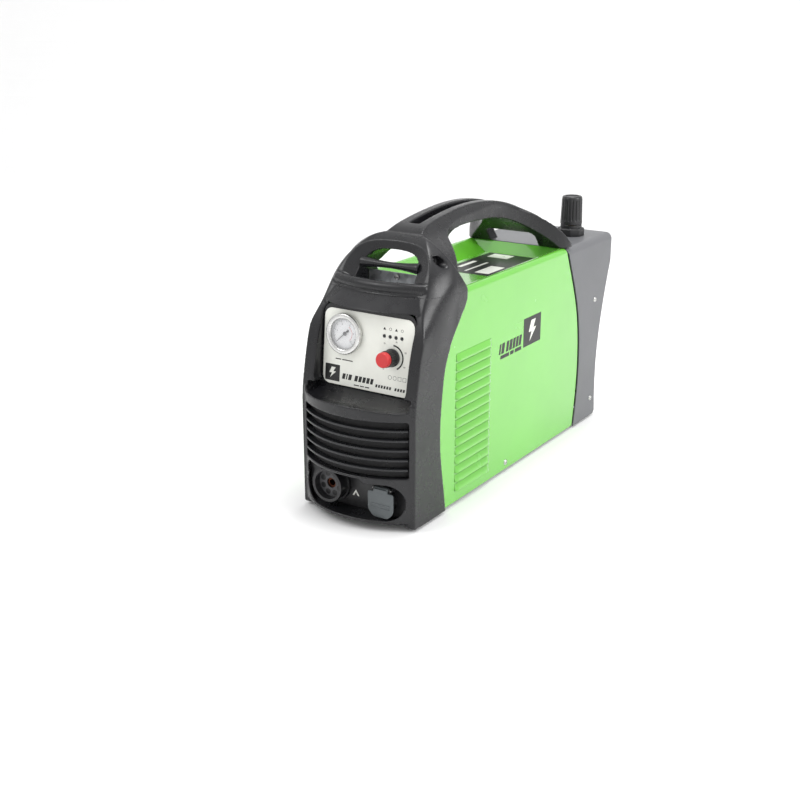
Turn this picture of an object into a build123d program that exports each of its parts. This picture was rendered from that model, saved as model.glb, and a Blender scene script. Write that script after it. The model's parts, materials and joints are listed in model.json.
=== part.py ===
"""Plasma cutter unit: steel-cased inverter with a moulded front, carry handle and rear air regulator.

Frame: millimetres, +Z up, -Y is the front, +X the right-hand side seen from the front.
The origin is the centre of the bounding box at floor level.
"""
from build123d import *
from math import cos, radians, sin
import os

os.makedirs("parts", exist_ok=True)

# ---- driving dimensions -------------------------------------------------------------------
FRONT = -244.5          # front faces of the side pillars
PARTING_Z = 262.0       # joint between the front bezel and the handle moulding
BEZEL_HALF = 78.0       # half width of the front moulding
BEZEL_WALL = 2.7        # wall of the front moulding
COVER_HALF = 74.6       # half width of the steel cover
COVER_SHEET = 1.2
RIDGE_Z = 261.8         # ridges of the cover
VALLEY_Z = 246.0        # floor between the ridges
BOX_HALF = 76.0         # half width of the rear box
BOX_SHEET = 1.5
BOX_TOP = 261.0
BOW_RADIUS = 117.0      # plan radius of the bowed lower front
BOW_CENTRE = 91.0       # its centre, behind the pillar fronts
BOW_HALF_CHORD = 73.5
SEGMENT_BACK = 12.0     # flat back of the bowed block, behind the pillar fronts
GRILLE_HALF = 70.5
GRILLE_BOTTOM = 65.0
GRILLE_TOP = 131.6
SLOT_COUNT = 6
SLAT = 2.6
SOCKET_BOTTOM = 13.0
SOCKET_TOP = 62.0
SOCKET_DEPTH = 2.0      # front face of the socket panel, behind the pillar fronts
RECESS_HALF = 63.0
RECESS_BOTTOM = 151.0
RECESS_TOP = 246.0
PANEL_TILT = 5.5        # the control panel leans back, degrees
TRAY_Z = 6.0
TRAY_SHEET = 1.5
TRAY_TOP = TRAY_Z + TRAY_SHEET
TRAY_HALF = 73.2
BULKHEAD_Y = FRONT + 386.0
FAN_X, FAN_Z = -26.0, 47.0
GAUGE = (-31.3, 62.7)   # on the control panel: across, up from its lower edge
DIAL_KNOB = (33.6, 45.0)
LAMP_UP = 67.9
TORCH_X, TORCH_Z = -33.0, 39.0
EARTH_X, EARTH_Z = 40.0, 32.0
FLAP_AXIS_Y, FLAP_AXIS_Z = FRONT - 8.5, 48.5
REG_X, REG_Y = 35.0, FRONT + 468.0
INLET_X, INLET_Z = 35.0, 62.0
GLAND_X, GLAND_Z = 52.0, 28.0
PANEL_OUT = FRONT + 481.0       # outer face of the rear panel's lower part
SWITCH_X, SWITCH_Z = -38.0, 165.0
HOSE_R = 4.0

# side view (distance behind the pillar fronts, height) of the joint between cover and rear box
SEAM = [(373.0, 263.0), (375.0, 258.6), (394.3, 217.0), (413.6, 167.3), (420.6, 131.0),
        (423.0, 82.5), (419.0, 35.0), (414.0, 3.0)]
SEAM_GAP = 2.6

CONTROL = Plane(
    origin=(0, FRONT + 18.5, 150.0),
    x_dir=(1, 0, 0),
    z_dir=(0, -cos(radians(PANEL_TILT)), sin(radians(PANEL_TILT))),
)
OUTWARD = Axis(CONTROL.origin, CONTROL.z_dir)
SLANT = (31.5, 126.0)   # run and rise of the sloping part of the rear panel
SLANT_LENGTH = (SLANT[0] ** 2 + SLANT[1] ** 2) ** 0.5
SLANT_BOTTOM_Z = 88.0
SWITCH = Plane(
    origin=(SWITCH_X, PANEL_OUT + (SWITCH_Z - SLANT_BOTTOM_Z) * SLANT[0] / SLANT[1], SWITCH_Z),
    x_dir=(-1, 0, 0),
    z_dir=(0, SLANT[1] / SLANT_LENGTH, -SLANT[0] / SLANT_LENGTH),
)


def at_y(y):
    """Vertical plane facing the front at depth y: sketch x is X, sketch y is Z."""
    return Plane.XZ.offset(-y)


def side(points):
    """Side-view points given from the pillar fronts, as points of the YZ plane."""
    return [(FRONT + y, z) for y, z in points]


def mirrored(points):
    """An outline given by its right half, completed over the top to the left."""
    return points + [(-x, z) for x, z in reversed(points[:-1])]


def arch_section(depth, points, inset):
    """Closed arch on the upright plane at a depth: straight sides, one curve over the top."""
    half = points[0][0]
    base = points[0][1]
    shrink = 1 - inset / half
    right = [(x * shrink, z - inset * (z - base) / (points[-1][1] - base)) for x, z in points]
    with BuildSketch(at_y(FRONT + depth)) as section:
        with BuildLine():
            Line((-right[0][0], 3), (right[0][0], 3))
            Line((right[0][0], 3), right[0])
            Spline(*mirrored(right), tangents=((0, 1), (0, -1)))
            Line((-right[0][0], base), (-right[0][0], 3))
        make_face()
    return section.sketch


# front moulding: half outlines at depths behind the pillar fronts, from the base of the arch to its crown
ARCHES = [
    (0.0, [(78.0, 175.0), (76.8, 196.0), (72.0, 215.0), (59.0, 232.0), (36.0, 246.0), (0.0, 252.0)]),
    (24.5, [(78.2, 175.0), (78.0, 206.0), (76.0, 226.0), (66.0, 242.0), (42.0, 257.0), (0.0, 264.0)]),
    (42.0, [(78.4, 175.0), (77.6, 222.0), (73.0, 248.0), (62.0, 266.0), (40.0, 280.0), (0.0, 287.0)]),
    (56.0, [(78.5, 175.0), (78.0, 232.0), (74.0, 262.0), (60.0, 283.0), (39.0, 297.0), (0.0, 304.0)]),
    (72.0, [(78.5, 175.0), (78.2, 240.0), (76.0, 272.0), (62.0, 292.0), (41.0, 308.0), (0.0, 316.0)]),
    (90.0, [(78.5, 175.0), (78.4, 246.0), (77.5, 274.0), (66.0, 296.0), (44.0, 312.5), (0.0, 323.0)]),
]


def front_hull(inset, depth):
    """Outer form of the front mouldings: a narrow arch in front, growing to the cover's width."""
    last_depth, last_arch = ARCHES[-1]
    with BuildPart() as hull:
        for section_depth, outline in ARCHES:
            add(arch_section(section_depth, outline, inset))
        loft()
        add(arch_section(last_depth, last_arch, inset))
        extrude(dir=(0, 1, 0), amount=depth - last_depth)
    return hull.part


def bow_band(outer, inner, half):
    """Plan view of the bowed front: an arc band, or a segment where inner is None."""
    front = BOW_CENTRE - (outer ** 2 - half ** 2) ** 0.5
    with BuildSketch() as band:
        with BuildLine():
            ThreePointArc(
                (-half, FRONT + front), (0, FRONT + BOW_CENTRE - outer), (half, FRONT + front))
            if inner is None:
                Polyline((half, FRONT + front), (half, FRONT + SEGMENT_BACK),
                         (-half, FRONT + SEGMENT_BACK), (-half, FRONT + front))
            else:
                back = BOW_CENTRE - (inner ** 2 - half ** 2) ** 0.5
                Line((half, FRONT + front), (half, FRONT + back))
                ThreePointArc(
                    (half, FRONT + back), (0, FRONT + BOW_CENTRE - inner), (-half, FRONT + back))
                Line((-half, FRONT + back), (-half, FRONT + front))
        make_face()
    return band.sketch


# ---- front bezel --------------------------------------------------------------------------
with BuildPart() as bezel_cavity:
    add(front_hull(BEZEL_WALL, 130))
    with BuildSketch(Plane.YZ):
        Polygon(*side([(30, 12), (30, 190), (40, 225), (58, 263), (130, 263), (130, -1),
                       (44, -1), (44, 12)]), align=None)
    extrude(amount=100, both=True, mode=Mode.INTERSECT)

with BuildPart() as front_bezel:
    add(front_hull(0, 130))
    with BuildSketch(Plane.YZ):
        with BuildLine():
            Line(*side([(0, 10), (0, 130)]))
            Spline(*side([(0, 130), (6, 175), (13, 205), (24.5, 234), (42, PARTING_Z)]),
                   tangents=((0, 1), (0.62, 0.78)))
            Polyline(*side([(42, PARTING_Z), (111, PARTING_Z), (111, 250)]))
            Spline(*side([(111, 250), (100, 233), (80, 208), (66, 184), (58.5, 150), (54.4, 94),
                          (60, 50), (68, 3)]))
            Polyline(*side([(68, 3), (62, 0), (6, 0), (0, 5), (0, 10)]))
        make_face()
    extrude(amount=100, both=True, mode=Mode.INTERSECT)
    add(bezel_cavity.part, mode=Mode.SUBTRACT)
    # bowed lower front between the pillars
    with BuildSketch(Plane.XY.offset(10)):
        add(bow_band(BOW_RADIUS, None, BOW_HALF_CHORD))
    extrude(amount=141)
    # brow over the control panel, bowed and leaning back
    with BuildSketch(Plane.XY.offset(RECESS_TOP)):
        with BuildLine():
            ThreePointArc((-RECESS_HALF - 2, FRONT + 31), (0, FRONT + 12), (RECESS_HALF + 2, FRONT + 31))
            Polyline((RECESS_HALF + 2, FRONT + 31), (RECESS_HALF + 2, FRONT + 50),
                     (-RECESS_HALF - 2, FRONT + 50), (-RECESS_HALF - 2, FRONT + 31))
        make_face()
    with BuildSketch(Plane.XY.offset(PARTING_Z)):
        with BuildLine():
            ThreePointArc((-60, FRONT + 43), (0, FRONT + 31), (60, FRONT + 43))
            Polyline((60, FRONT + 43), (60, FRONT + 50), (-60, FRONT + 50), (-60, FRONT + 43))
        make_face()
    loft()
    # dished shelf behind the bright lip
    with BuildSketch(Plane.YZ):
        with BuildLine():
            ThreePointArc(*side([(-30, 147.5), (-5, 143), (21, 151.2)]))
            Polyline(*side([(21, 151.2), (21, 156), (-30, 156), (-30, 147.5)]))
        make_face()
    extrude(amount=GRILLE_HALF, both=True, mode=Mode.SUBTRACT)
    # control panel recess, grille opening and the hollow behind the socket opening
    with BuildSketch(at_y(FRONT - 5)):
        with Locations((0, (RECESS_BOTTOM + RECESS_TOP) / 2)):
            RectangleRounded(2 * RECESS_HALF, RECESS_TOP - RECESS_BOTTOM, 12)
    extrude(amount=-54, mode=Mode.SUBTRACT)
    with BuildSketch(at_y(FRONT - 40)):
        with Locations((0, (GRILLE_BOTTOM + GRILLE_TOP) / 2)):
            Rectangle(2 * GRILLE_HALF, GRILLE_TOP - GRILLE_BOTTOM)
    extrude(amount=-90, mode=Mode.SUBTRACT)
    with BuildSketch(Plane.XY.offset(SOCKET_BOTTOM)):
        with BuildLine():
            hollow = BOW_RADIUS - 3.5
            edge = BOW_CENTRE - (hollow ** 2 - 70.0 ** 2) ** 0.5
            ThreePointArc((-70, FRONT + edge), (0, FRONT + BOW_CENTRE - hollow), (70, FRONT + edge))
            Polyline((70, FRONT + edge), (70, FRONT + 31), (-70, FRONT + 31), (-70, FRONT + edge))
        make_face()
    extrude(amount=SOCKET_TOP - SOCKET_BOTTOM, mode=Mode.SUBTRACT)
    # socket opening: long rounded window, stepped up over the torch socket
    with BuildSketch(at_y(FRONT - 40)):
        with Locations((0, 35)):
            RectangleRounded(136, 43, 21)
        with Locations((-22, 52)):
            RectangleRounded(92, 19, 8)
    extrude(amount=-45, mode=Mode.SUBTRACT)
    # raised sill between the two feet
    with BuildSketch(at_y(FRONT - 40)):
        Polygon((-70, 0), (-61, 10), (61, 10), (70, 0), align=None)
    extrude(amount=-120, mode=Mode.SUBTRACT)
front_bezel.part.label = "front_bezel"
export_step(front_bezel.part, "parts/front_bezel.step")

# ---- front grille -------------------------------------------------------------------------
SLAT_PITCH = (GRILLE_TOP - GRILLE_BOTTOM + SLAT) / SLOT_COUNT
with BuildPart() as front_grille:
    for slat in range(1, SLOT_COUNT):
        with BuildSketch(Plane.XY.offset(GRILLE_BOTTOM + slat * SLAT_PITCH - SLAT)):
            add(bow_band(BOW_RADIUS - 0.5, BOW_RADIUS - 10.5, GRILLE_HALF - 0.2))
        extrude(amount=SLAT)
    with BuildSketch(Plane.XY.offset(GRILLE_BOTTOM + 0.1)):
        add(bow_band(BOW_RADIUS - 8.5, BOW_RADIUS - 13, GRILLE_HALF - 0.2))
        with Locations((-52, FRONT), (-17.5, FRONT), (17.5, FRONT), (52, FRONT)):
            Rectangle(32.5, 90, mode=Mode.SUBTRACT)
    extrude(amount=GRILLE_TOP - GRILLE_BOTTOM - 0.2)
front_grille.part.label = "front_grille"
export_step(front_grille.part, "parts/front_grille.step")

# ---- socket panel -------------------------------------------------------------------------
with BuildPart() as socket_panel:
    with BuildSketch(at_y(FRONT + SOCKET_DEPTH)):
        with Locations((0, (SOCKET_BOTTOM + SOCKET_TOP) / 2)):
            Rectangle(139.4, SOCKET_TOP - SOCKET_BOTTOM - 0.4)
        with Locations((TORCH_X, TORCH_Z)):
            Circle(16.8, mode=Mode.SUBTRACT)
        with Locations((EARTH_X, EARTH_Z)):
            Circle(12.0, mode=Mode.SUBTRACT)
    extrude(amount=-2.5)
socket_panel.part.label = "socket_panel"
export_step(socket_panel.part, "parts/socket_panel.step")

# ---- handle moulding: arch, carry handle and two rear feet --------------------------------
HANDLE_TOP = [(84, 308), (96, 318), (107, 324), (121, 328), (153, 333), (187, 336.5), (228, 337.6),
              (272, 334), (310, 326), (340, 313), (362, 294), (378, 276), (390, PARTING_Z)]
HANDLE_UNDER = [(368, PARTING_Z), (356, 277), (338, 292), (312, 304), (272, 311.5), (228, 315),
                (192, 315), (160, 310), (138, 300), (118, 288), (98, 280)]
HANDLE_PLAN = [(77, 90), (65, 109), (52, 123), (40, 134), (29, 147), (22.5, 169), (20.5, 200), (20, 240),
               (21, 300), (26, 323), (40, 345), (60, 362), (74, 376), (74, 393)]
GRIP_FRONT = [(76.8, 255), (76.2, 266), (71, 281), (61, 295), (46, 306), (32, 313.5), (24, 320), (20, 328),
              (18.5, 345)]
with BuildPart() as grip:
    with BuildSketch(Plane.YZ):
        with BuildLine():
            Spline(*side(HANDLE_TOP))
            Line(*side([HANDLE_TOP[-1], HANDLE_UNDER[0]]))
            Spline(*side(HANDLE_UNDER))
            Line(*side([HANDLE_UNDER[-1], HANDLE_TOP[0]]))
        make_face()
    extrude(amount=90, both=True)
    with BuildSketch(Plane.XY.offset(200)):
        with BuildLine():
            right = [(x, FRONT + y) for x, y in HANDLE_PLAN]
            left = [(-x, y) for x, y in right]
            Spline(*right)
            Line(right[-1], left[-1])
            Spline(*left)
            Line(left[0], right[0])
        make_face()
    extrude(amount=200, mode=Mode.INTERSECT)
    with BuildSketch(at_y(FRONT + 60)):
        with BuildLine():
            Spline(*GRIP_FRONT)
            Line(GRIP_FRONT[-1], (-GRIP_FRONT[-1][0], GRIP_FRONT[-1][1]))
            Spline(*[(-x, z) for x, z in GRIP_FRONT])
            Line((-GRIP_FRONT[0][0], GRIP_FRONT[0][1]), GRIP_FRONT[0])
        make_face()
    extrude(amount=-360, mode=Mode.INTERSECT)

# the hand hole: a wide mouth on the leaning front, drawn in to a through hole
MOUTH = Plane(origin=(0, FRONT + 46.9, 273.7), x_dir=(1, 0, 0), z_dir=(0, -45, 37))
MOUTH_OUTLINE = [(61.5, -22), (61.5, 2), (57.5, 22), (48, 41), (35, 53), (13, 59.6), (0, 60.8)]
THROAT_DROP = 8.0      # from the mouth's plane to the throat's
THROAT_HALF = 39.6
THROAT_OUTLINE = [(39.6, -14), (39.6, 4), (38.6, 18), (35, 31), (26, 40), (12, 43.6), (0, 44.2)]


def hole_section(plane, outline):
    """Closed arch on a leaning plane: one curve over the top, a straight lower edge."""
    with BuildSketch(plane) as section:
        with BuildLine():
            Spline(*mirrored(outline), tangents=((0, 1), (0, -1)))
            Line((-outline[0][0], outline[0][1]), outline[0])
        make_face()
    return section.sketch


with BuildPart() as hand_hole:
    add(hole_section(MOUTH, MOUTH_OUTLINE))
    add(hole_section(MOUTH.offset(-THROAT_DROP), THROAT_OUTLINE))
    loft()
    add(hole_section(MOUTH.offset(-THROAT_DROP), THROAT_OUTLINE))
    extrude(dir=(0, 1, 0), amount=62)

POCKET_Y, POCKET_Z, POCKET_FLOOR = FRONT + 79.0, 296.0, 50.5
with BuildPart() as top_handle:
    add(front_hull(0, 118))
    with BuildSketch(Plane.YZ):
        with BuildLine():
            Spline(*side([(42, PARTING_Z), (53, 278), (64, 293), (76, 307), (86, 314.5), (97, 319.5)]))
            Spline(*side([(97, 319.5), (92, 304), (95, 288), (103, 273), (111, PARTING_Z)]))
            Line(*side([(111, PARTING_Z), (42, PARTING_Z)]))
        make_face()
    extrude(amount=100, both=True, mode=Mode.INTERSECT)
    add(grip.part)
    add(hand_hole.part, mode=Mode.SUBTRACT)
    # long channel in the top of the grip
    with BuildSketch(Plane.YZ):
        with BuildLine():
            Spline(*side([(120, 315), (160, 322), (187, 324), (228, 325), (272, 321.5), (304, 315)]))
            Polyline(*side([(304, 315), (304, 345), (120, 345), (120, 315)]))
        make_face()
    extrude(amount=7, both=True, mode=Mode.SUBTRACT)
    # window between the rear feet
    with BuildSketch(Plane.XY.offset(250)):
        with Locations((0, FRONT + 380)):
            RectangleRounded(72, 56, 8)
    extrude(amount=80, mode=Mode.SUBTRACT)
    # rolled lip under the hand hole, on a low web
    with BuildSketch(Plane.XY.offset(PARTING_Z)):
        with BuildLine():
            ThreePointArc((-60, FRONT + 46), (0, FRONT + 33), (60, FRONT + 46))
            Line((60, FRONT + 46), (60, FRONT + 54))
            ThreePointArc((60, FRONT + 54), (0, FRONT + 42), (-60, FRONT + 54))
            Line((-60, FRONT + 54), (-60, FRONT + 46))
        make_face()
    extrude(amount=7)
    with BuildLine(Plane.XY.offset(269)):
        lip_path = ThreePointArc((-60, FRONT + 52), (0, FRONT + 38.5), (60, FRONT + 52))
    with BuildSketch(Plane(origin=lip_path @ 0, z_dir=lip_path % 0)):
        Circle(7)
    sweep(path=lip_path)
    # screw pockets in both flanks
    for hand in (1, -1):
        with BuildSketch(Plane.YZ.offset(hand * POCKET_FLOOR)):
            with Locations((POCKET_Y, POCKET_Z)):
                Circle(6.2)
        extrude(amount=hand * 30, mode=Mode.SUBTRACT)
    with BuildSketch(Plane.YZ):
        with Locations((POCKET_Y, POCKET_Z)):
            Circle(1.9)
    extrude(amount=60, both=True, mode=Mode.SUBTRACT)
top_handle.part.label = "top_handle"
export_step(top_handle.part, "parts/top_handle.step")

# ---- cross bar in the hand hole -----------------------------------------------------------
with BuildPart() as cross_bar:
    with BuildSketch(Plane.XY.offset(287)):
        with BuildLine():
            Polyline((-50, FRONT + 70), (-50, FRONT + 76.3), (-40, FRONT + 76.3))
            Spline((-40, FRONT + 76.3), (-20, FRONT + 74.4), (0, FRONT + 73.7), (20, FRONT + 74.4),
                   (40, FRONT + 76.3))
            Polyline((40, FRONT + 76.3), (50, FRONT + 76.3), (50, FRONT + 70), (-50, FRONT + 70))
        make_face()
    revolve(axis=Axis((0, FRONT + 70, 287), (1, 0, 0)))
    # its ends follow the hand hole's flared flanks
    add(top_handle.part, mode=Mode.SUBTRACT)
cross_bar.part.label = "cross_bar"
export_step(cross_bar.part, "parts/cross_bar.step")

# ---- closing plate behind the hand hole ---------------------------------------------------
CLOSING_Y, CLOSING_SCREW_Z = FRONT + 84.0, 270.5
with BuildPart() as closing_plate:
    with BuildSketch(Plane.XY.offset(258.8)):
        with Locations((0, FRONT + 78.6)):
            Rectangle(120, 42.6)
    extrude(amount=1.2)
    with BuildSketch(at_y(FRONT + 98.7)):
        Polygon((-70, 241), (70, 241), (70, 254), (63, 260), (-63, 260), (-70, 254), align=None)
    extrude(amount=-1.2)
    with BuildSketch(at_y(CLOSING_Y)):
        Polygon(*mirrored([(THROAT_HALF - 0.6, 260), (THROAT_HALF - 0.6, 273), (38, 275.8),
                           (0, 275.8)]), align=None)
        with Locations((0, CLOSING_SCREW_Z)):
            Circle(2.0, mode=Mode.SUBTRACT)
    extrude(amount=-1.2)
closing_plate.part.label = "closing_plate"
export_step(closing_plate.part, "parts/closing_plate.step")

# ---- base tray and feet -------------------------------------------------------------------
TRAY_FRONT, TRAY_BACK = FRONT + 46.0, FRONT + 476.0
FEET = [(sx * 56, FRONT + y) for sx in (-1, 1) for y in (66, 440)]
with BuildPart() as base_tray:
    with BuildSketch(Plane.XY.offset(TRAY_Z)):
        with Locations((0, (TRAY_FRONT + TRAY_BACK) / 2)):
            Rectangle(2 * TRAY_HALF, TRAY_BACK - TRAY_FRONT)
        with Locations(*FEET):
            Circle(2.1, mode=Mode.SUBTRACT)
    extrude(amount=TRAY_SHEET)
    with BuildSketch(Plane.XY.offset(TRAY_TOP)):
        with Locations((TRAY_HALF - 0.75, FRONT + 274), (0.75 - TRAY_HALF, FRONT + 274)):
            Rectangle(TRAY_SHEET, 400)
    extrude(amount=12.5)
    with BuildSketch(Plane.YZ.offset(-80)):
        with Locations((FRONT + 220, 13)):
            Circle(2.1)
    extrude(amount=160, mode=Mode.SUBTRACT)
base_tray.part.label = "base_tray"
export_step(base_tray.part, "parts/base_tray.step")

with BuildPart() as rubber_feet:
    with BuildSketch():
        with Locations(*FEET):
            Circle(11)
    extrude(amount=TRAY_Z, taper=6)
    with BuildSketch():
        with Locations(*FEET):
            Circle(4.5)
    extrude(amount=3, mode=Mode.SUBTRACT)
    with BuildSketch():
        with Locations(*FEET):
            Circle(2.0)
    extrude(amount=TRAY_Z, mode=Mode.SUBTRACT)
rubber_feet.part.label = "rubber_feet"
export_step(rubber_feet.part, "parts/rubber_feet.step")

# ---- steel cover --------------------------------------------------------------------------
LOUVRES = 15
LOUVRE_PITCH = 11.5
LOUVRE_FIRST = 21.5
LOUVRE_FRONT, LOUVRE_LENGTH = FRONT + 97.0, 74.0


def louvre_hood(level, hand):
    """Cross-section of one raised hood on the right (1) or left (-1) flank."""
    outline = [(-0.6, 4.2), (0.0, 4.4), (2.9, -2.0), (2.9, -3.4), (-0.6, -3.4)]
    return [(hand * (COVER_HALF + x), level + z) for x, z in outline]


def louvre_throat(level, hand):
    """Cross-section of the air passage under the hood."""
    outline = [(-3.0, 2.6), (-0.1, 2.6), (2.0, -2.1), (2.0, -4.2), (0.0, -4.2), (0.0, -3.2),
               (-3.0, -3.2)]
    return [(hand * (COVER_HALF + x), level + z) for x, z in outline]


with BuildPart() as steel_cover:
    with BuildSketch(at_y(FRONT + 46)) as cover_section:
        with BuildLine():
            Polyline((-COVER_HALF, 4), (COVER_HALF, 4), (COVER_HALF, RIDGE_Z), (65.5, RIDGE_Z),
                     (42, VALLEY_Z), (-42, VALLEY_Z), (-65.5, RIDGE_Z), (-COVER_HALF, RIDGE_Z),
                     close=True)
        make_face()
        fillet(cover_section.vertices().group_by(Axis.Y)[-1], 6.5)
        offset(amount=-COVER_SHEET, mode=Mode.SUBTRACT)
        with Locations((0, 4)):
            Rectangle(2 * (COVER_HALF - COVER_SHEET), 6, mode=Mode.SUBTRACT)
    extrude(amount=-400)
    # shaped front edge under the bezel, curved rear edge along the seam
    with BuildSketch(Plane.YZ):
        with BuildLine():
            Polyline(*side([(414, 3), (72, 3), (72, 9), (46, 9), (46, 170), (56, 184), (70, 208),
                            (90, 233), (101, 242), (101, 263), (373, 263)]))
            Spline(*side(SEAM))
        make_face()
    extrude(amount=100, both=True, mode=Mode.INTERSECT)
    # rear wall of the valley
    with BuildSketch(Plane.XY.offset(240)):
        with Locations((0, FRONT + 380)):
            Rectangle(134, 27)
    extrude(amount=16, mode=Mode.SUBTRACT)
    with BuildSketch(Plane.YZ):
        Polygon(*side([(364.5, VALLEY_Z - COVER_SHEET), (367.4, VALLEY_Z - COVER_SHEET),
                       (373.4, 261.0), (371.9, 261.4)]), align=None)
    extrude(amount=66, both=True)
    for hand in (1, -1):
        with BuildSketch(at_y(LOUVRE_FRONT)):
            for row in range(LOUVRES):
                Polygon(*louvre_hood(LOUVRE_FIRST + row * LOUVRE_PITCH, hand), align=None)
        extrude(amount=-LOUVRE_LENGTH)
        with BuildSketch(at_y(LOUVRE_FRONT + 1.5)):
            for row in range(LOUVRES):
                Polygon(*louvre_throat(LOUVRE_FIRST + row * LOUVRE_PITCH, hand), align=None)
        extrude(amount=-(LOUVRE_LENGTH - 3), mode=Mode.SUBTRACT)
    with BuildSketch(Plane.YZ.offset(-80)):
        with Locations((FRONT + 220, 13)):
            Circle(2.1)
    extrude(amount=160, mode=Mode.SUBTRACT)
steel_cover.part.label = "steel_cover"
export_step(steel_cover.part, "parts/steel_cover.step")

# ---- rear box -----------------------------------------------------------------------------
BOX_SCREWS = [(FRONT + 468.3, 174.3), (FRONT + 468.6, 29.8)]
with BuildPart() as rear_box:
    with BuildSketch(at_y(FRONT + 370)) as box_section:
        with Locations((0, BOX_TOP / 2)):
            Rectangle(2 * BOX_HALF, BOX_TOP)
        fillet(box_section.vertices().group_by(Axis.Y)[-1], 9)
        offset(amount=-BOX_SHEET, mode=Mode.SUBTRACT)
        Rectangle(2 * (BOX_HALF - BOX_SHEET), 8, mode=Mode.SUBTRACT)
    extrude(amount=-160)
    with BuildSketch(Plane.YZ):
        with BuildLine():
            Spline(*side([(y + SEAM_GAP, z) for y, z in SEAM]))
            Polyline(*side([(414 + SEAM_GAP, 3), (481, 3), (485, 8)]))
            Spline(*side([(485, 8), (482, 60), (484, 100), (492, 145), (503, 186), (515, 222)]))
            Polyline(*side([(515, 222), (515, 263), (373 + SEAM_GAP, 263)]))
        make_face()
    extrude(amount=100, both=True, mode=Mode.INTERSECT)
    with BuildSketch(Plane.XY.offset(240)):
        with Locations((REG_X, REG_Y)):
            Circle(13.1)
    extrude(amount=30, mode=Mode.SUBTRACT)
    with BuildSketch(Plane.YZ.offset(-80)):
        with Locations(*BOX_SCREWS):
            Circle(2.0)
    extrude(amount=160, mode=Mode.SUBTRACT)
rear_box.part.label = "rear_box"
export_step(rear_box.part, "parts/rear_box.step")

# ---- rear panel ---------------------------------------------------------------------------
with BuildPart() as rear_panel:
    with BuildSketch(Plane.YZ):
        Polygon(*side([(479.5, 8), (481, 8), (481, 88), (512.5, 214), (512.5, 259.3), (511, 259.3),
                       (511, 214.2), (479.5, 88.2)]), align=None)
    extrude(amount=74.2, both=True)
    with BuildSketch(at_y(FRONT + 475)) as panel_outline:
        with Locations((0, 130)):
            Rectangle(148.4, 258.6)
        fillet(panel_outline.vertices().group_by(Axis.Y)[-1], 8)
    extrude(amount=-45, mode=Mode.INTERSECT)
    with BuildSketch(at_y(FRONT + 470)):
        with Locations((FAN_X, FAN_Z)):
            Circle(32.5)
        with Locations((GLAND_X, GLAND_Z)):
            Circle(8)
        with Locations((INLET_X, INLET_Z)):
            Circle(6)
    extrude(amount=-15, mode=Mode.SUBTRACT)
    with BuildSketch(SWITCH.offset(-6)):
        Rectangle(27.4, 19.4)
    extrude(amount=12, mode=Mode.SUBTRACT)
rear_panel.part.label = "rear_panel"
export_step(rear_panel.part, "parts/rear_panel.step")

# ---- bulkhead between the power and the air compartments ----------------------------------
with BuildPart() as bulkhead:
    with BuildSketch(at_y(BULKHEAD_Y)):
        with Locations((0, 125)):
            Rectangle(142, 235)
        with Locations((FAN_X, FAN_Z)):
            Circle(32.5, mode=Mode.SUBTRACT)
        with Locations((48, 111)):
            Circle(6.1, mode=Mode.SUBTRACT)
        with Locations((GAUGE[0], 213)):
            Circle(4.5, mode=Mode.SUBTRACT)
    extrude(amount=-1.5)
bulkhead.part.label = "bulkhead"
export_step(bulkhead.part, "parts/bulkhead.step")

# ---- control panel and its overlay --------------------------------------------------------
LAMPS = [(21.4 + 7.8 * place, LAMP_UP) for place in range(4)]
with BuildPart() as control_panel:
    with BuildSketch(CONTROL.offset(-2.8)):
        with Locations((0, 48.6)):
            RectangleRounded(125.2, 94.4, 12.5)
        with Locations(GAUGE):
            Circle(21.7, mode=Mode.SUBTRACT)
        with Locations(DIAL_KNOB):
            Circle(3.9, mode=Mode.SUBTRACT)
        with Locations(*LAMPS):
            Circle(2.1, mode=Mode.SUBTRACT)
    extrude(amount=2.0)
control_panel.part.label = "control_panel"
export_step(control_panel.part, "parts/control_panel.step")

with BuildPart() as panel_overlay:
    with BuildSketch(CONTROL.offset(-0.8)):
        with Locations((0, 45.9)):
            RectangleRounded(122, 88.4, 10)
        with Locations(GAUGE):
            Circle(21.7, mode=Mode.SUBTRACT)
        with Locations(DIAL_KNOB):
            Circle(3.9, mode=Mode.SUBTRACT)
        with Locations(*LAMPS):
            Circle(2.1, mode=Mode.SUBTRACT)
    extrude(amount=0.8)
panel_overlay.part.label = "panel_overlay"
export_step(panel_overlay.part, "parts/panel_overlay.step")

# ---- pressure gauge -----------------------------------------------------------------------
GAUGE_REST = 222.0      # degrees from the panel's right, where the needle rests at zero
with BuildPart() as gauge_case:
    with BuildSketch(CONTROL.offset(-25)):
        with Locations(GAUGE):
            Circle(21.5)
    extrude(amount=28)
    with BuildSketch(CONTROL.offset(-23)):
        with Locations(GAUGE):
            Circle(20)
            Circle(3, mode=Mode.SUBTRACT)
    extrude(amount=17, mode=Mode.SUBTRACT)
    with BuildSketch(CONTROL.offset(-6)):
        with Locations(GAUGE):
            Circle(20)
    extrude(amount=10, mode=Mode.SUBTRACT)
    with BuildSketch(CONTROL.offset(-16)):
        with Locations(GAUGE):
            Circle(1.06)
    extrude(amount=12, mode=Mode.SUBTRACT)
    with BuildSketch(CONTROL.offset(-32)):
        with Locations(GAUGE):
            Circle(4.5)
    extrude(amount=7.5)
gauge_case.part.label = "gauge_case"
export_step(gauge_case.part, "parts/gauge_case.step")

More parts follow.
